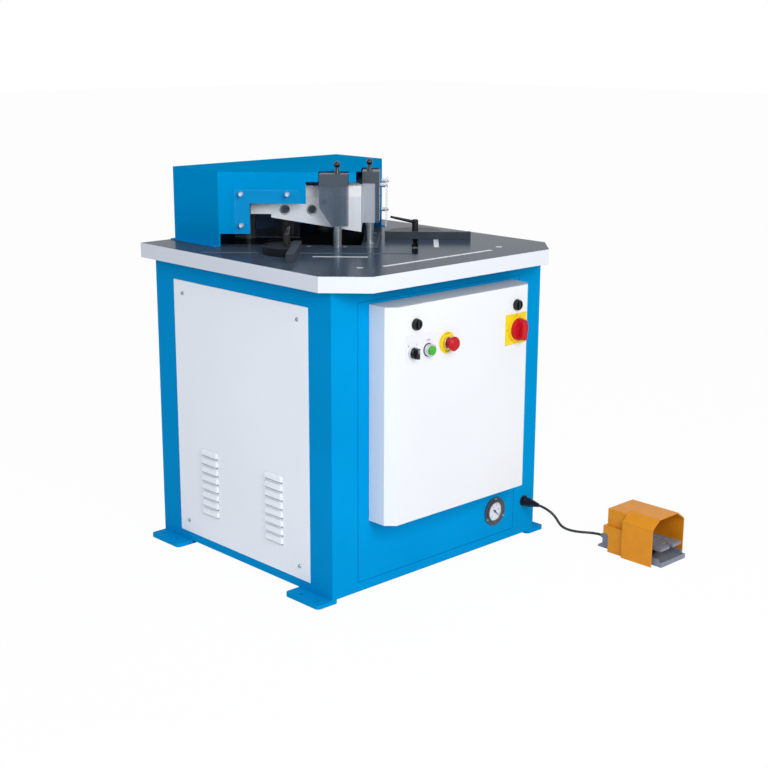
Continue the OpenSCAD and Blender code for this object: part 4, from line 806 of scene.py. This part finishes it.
def make_plug_ribs():
    """Grip rings round the plug."""
    middle = centre("pedal_plug")
    root, crest, root_half, crest_half = 12.6 * MM, 13.8 * MM, 0.9 * MM, 0.5 * MM
    profile = [(root, -root_half), (crest, -crest_half), (crest, crest_half), (root, root_half)]
    count, first, pitch = 6, 9 * MM, 3.2 * MM
    ribs = bmesh.new()
    for k in range(count):
        place = front_frame(middle.x, CAB_FRONT - first - k * pitch, middle.z)
        add_lathe(ribs, profile, place, steps=32)
    make_piece("plug_ribs", ribs, "socket", "machine")


def make_gasket():
    """Sponge rubber strip behind the cover's edge."""
    low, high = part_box("box_cover")
    inset, wide, rounding = 2.4 * MM, 9 * MM, 0.6 * MM
    front_gap, back_gap = 3.2 * MM, 0.9 * MM
    y0, y1 = CAB_FRONT - front_gap, CAB_FRONT - back_gap
    x0, x1 = low.x + inset, high.x - inset
    z0, z1 = COVER_FOOT + inset, high.z - inset
    strip = bmesh.new()
    for a, b in (((x0, z0), (x1, z0 + wide)), ((x0, z1 - wide), (x1, z1)),
                 ((x0, z0 + wide), (x0 + wide, z1 - wide)), ((x1 - wide, z0 + wide), (x1, z1 - wide))):
        add_bar(strip, (a[0], y0, a[1]), (b[0], y1, b[1]), Matrix.Identity(4))
    bmesh.ops.bevel(strip, geom=strip.edges[:], offset=rounding, segments=2, profile=0.5, affect="EDGES")
    make_piece("cover_gasket", strip, "black", "box_door")


# Floor, light and background


def seen_directly(tree):
    """One for rays from the camera, a reflection or clear sheet, and zero for light."""
    path = tree.nodes.new("ShaderNodeLightPath")
    total = path.outputs["Is Camera Ray"]
    for name in ("Is Glossy Ray", "Is Transmission Ray"):
        node = tree.nodes.new("ShaderNodeMath")
        node.operation = "MAXIMUM"
        tree.links.new(total, node.inputs[0])
        tree.links.new(path.outputs[name], node.inputs[1])
        total = node.outputs[0]
    return total


def make_floor():
    """Pale floor that glows almost to white where it is seen, and still shows the shadow."""
    half, glow_share = 30, 0.97
    mesh = bpy.data.meshes.new("floor")
    corners = [(-half, -half, 0), (half, -half, 0), (half, half, 0), (-half, half, 0)]
    mesh.from_pydata(corners, [], [(0, 1, 2, 3)])
    floor = bpy.data.objects.new("floor", mesh)
    bpy.context.scene.collection.objects.link(floor)
    material = bpy.data.materials.new("floor_white")
    material.use_nodes = True
    tree = material.node_tree
    shader = tree.nodes["Principled BSDF"]
    shader.inputs["Base Color"].default_value = (0.86, 0.86, 0.87, 1)
    shader.inputs["Roughness"].default_value = 0.9
    glow = tree.nodes.new("ShaderNodeEmission")
    blend = tree.nodes.new("ShaderNodeMixShader")
    share = tree.nodes.new("ShaderNodeMath")
    share.operation = "MULTIPLY"
    share.inputs[1].default_value = glow_share
    tree.links.new(seen_directly(tree), share.inputs[0])
    tree.links.new(share.outputs[0], blend.inputs[0])
    tree.links.new(shader.outputs[0], blend.inputs[1])
    tree.links.new(glow.outputs[0], blend.inputs[2])
    tree.links.new(blend.outputs[0], tree.nodes["Material Output"].inputs["Surface"])
    mesh.materials.append(material)


def make_world(light_level):
    world = bpy.data.worlds.new("studio")
    bpy.context.scene.world = world
    world.use_nodes = True
    tree = world.node_tree
    background = tree.nodes["Background"]
    background.inputs["Color"].default_value = (1, 1, 1, 1)
    level = tree.nodes.new("ShaderNodeMapRange")
    level.inputs["To Min"].default_value = light_level
    level.inputs["To Max"].default_value = 1.0
    tree.links.new(seen_directly(tree), level.inputs["Value"])
    tree.links.new(level.outputs["Result"], background.inputs["Strength"])


def add_lamp(name, at, target, size, watts, tint):
    data = bpy.data.lights.new(name, "AREA")
    data.shape = "SQUARE"
    data.size = size
    data.energy = watts
    data.color = tint
    lamp = bpy.data.objects.new(name, data)
    lamp.location = at
    lamp.rotation_euler = (Vector(target) - Vector(at)).to_track_quat("-Z", "Y").to_euler()
    bpy.context.scene.collection.objects.link(lamp)


def make_light():
    white, sky_blue = (1, 1, 1), (0.63, 0.77, 1)
    body, table = (0, 0, 0.7), (0, 0, 0.9)
    make_world(light_level=0.4)
    add_lamp("key", (-1.3, -4.2, 2.6), body, size=2.4, watts=139, tint=white)
    add_lamp("side", (-4.4, -0.6, 2.4), body, size=3.0, watts=38, tint=sky_blue)
    add_lamp("top", (0.4, -0.6, 4.4), table, size=2.5, watts=22, tint=white)


bpy.context.scene.view_settings.view_transform = "Standard"
make_camera()
make_cord()
dress_nodes()
make_gauge()
make_scale_marks()
make_fence_screws()
make_control_marks()
make_start_seal()
make_selector_pointer()
make_louvre_hoods()
make_plug_ribs()
make_gasket()
make_floor()
make_light()
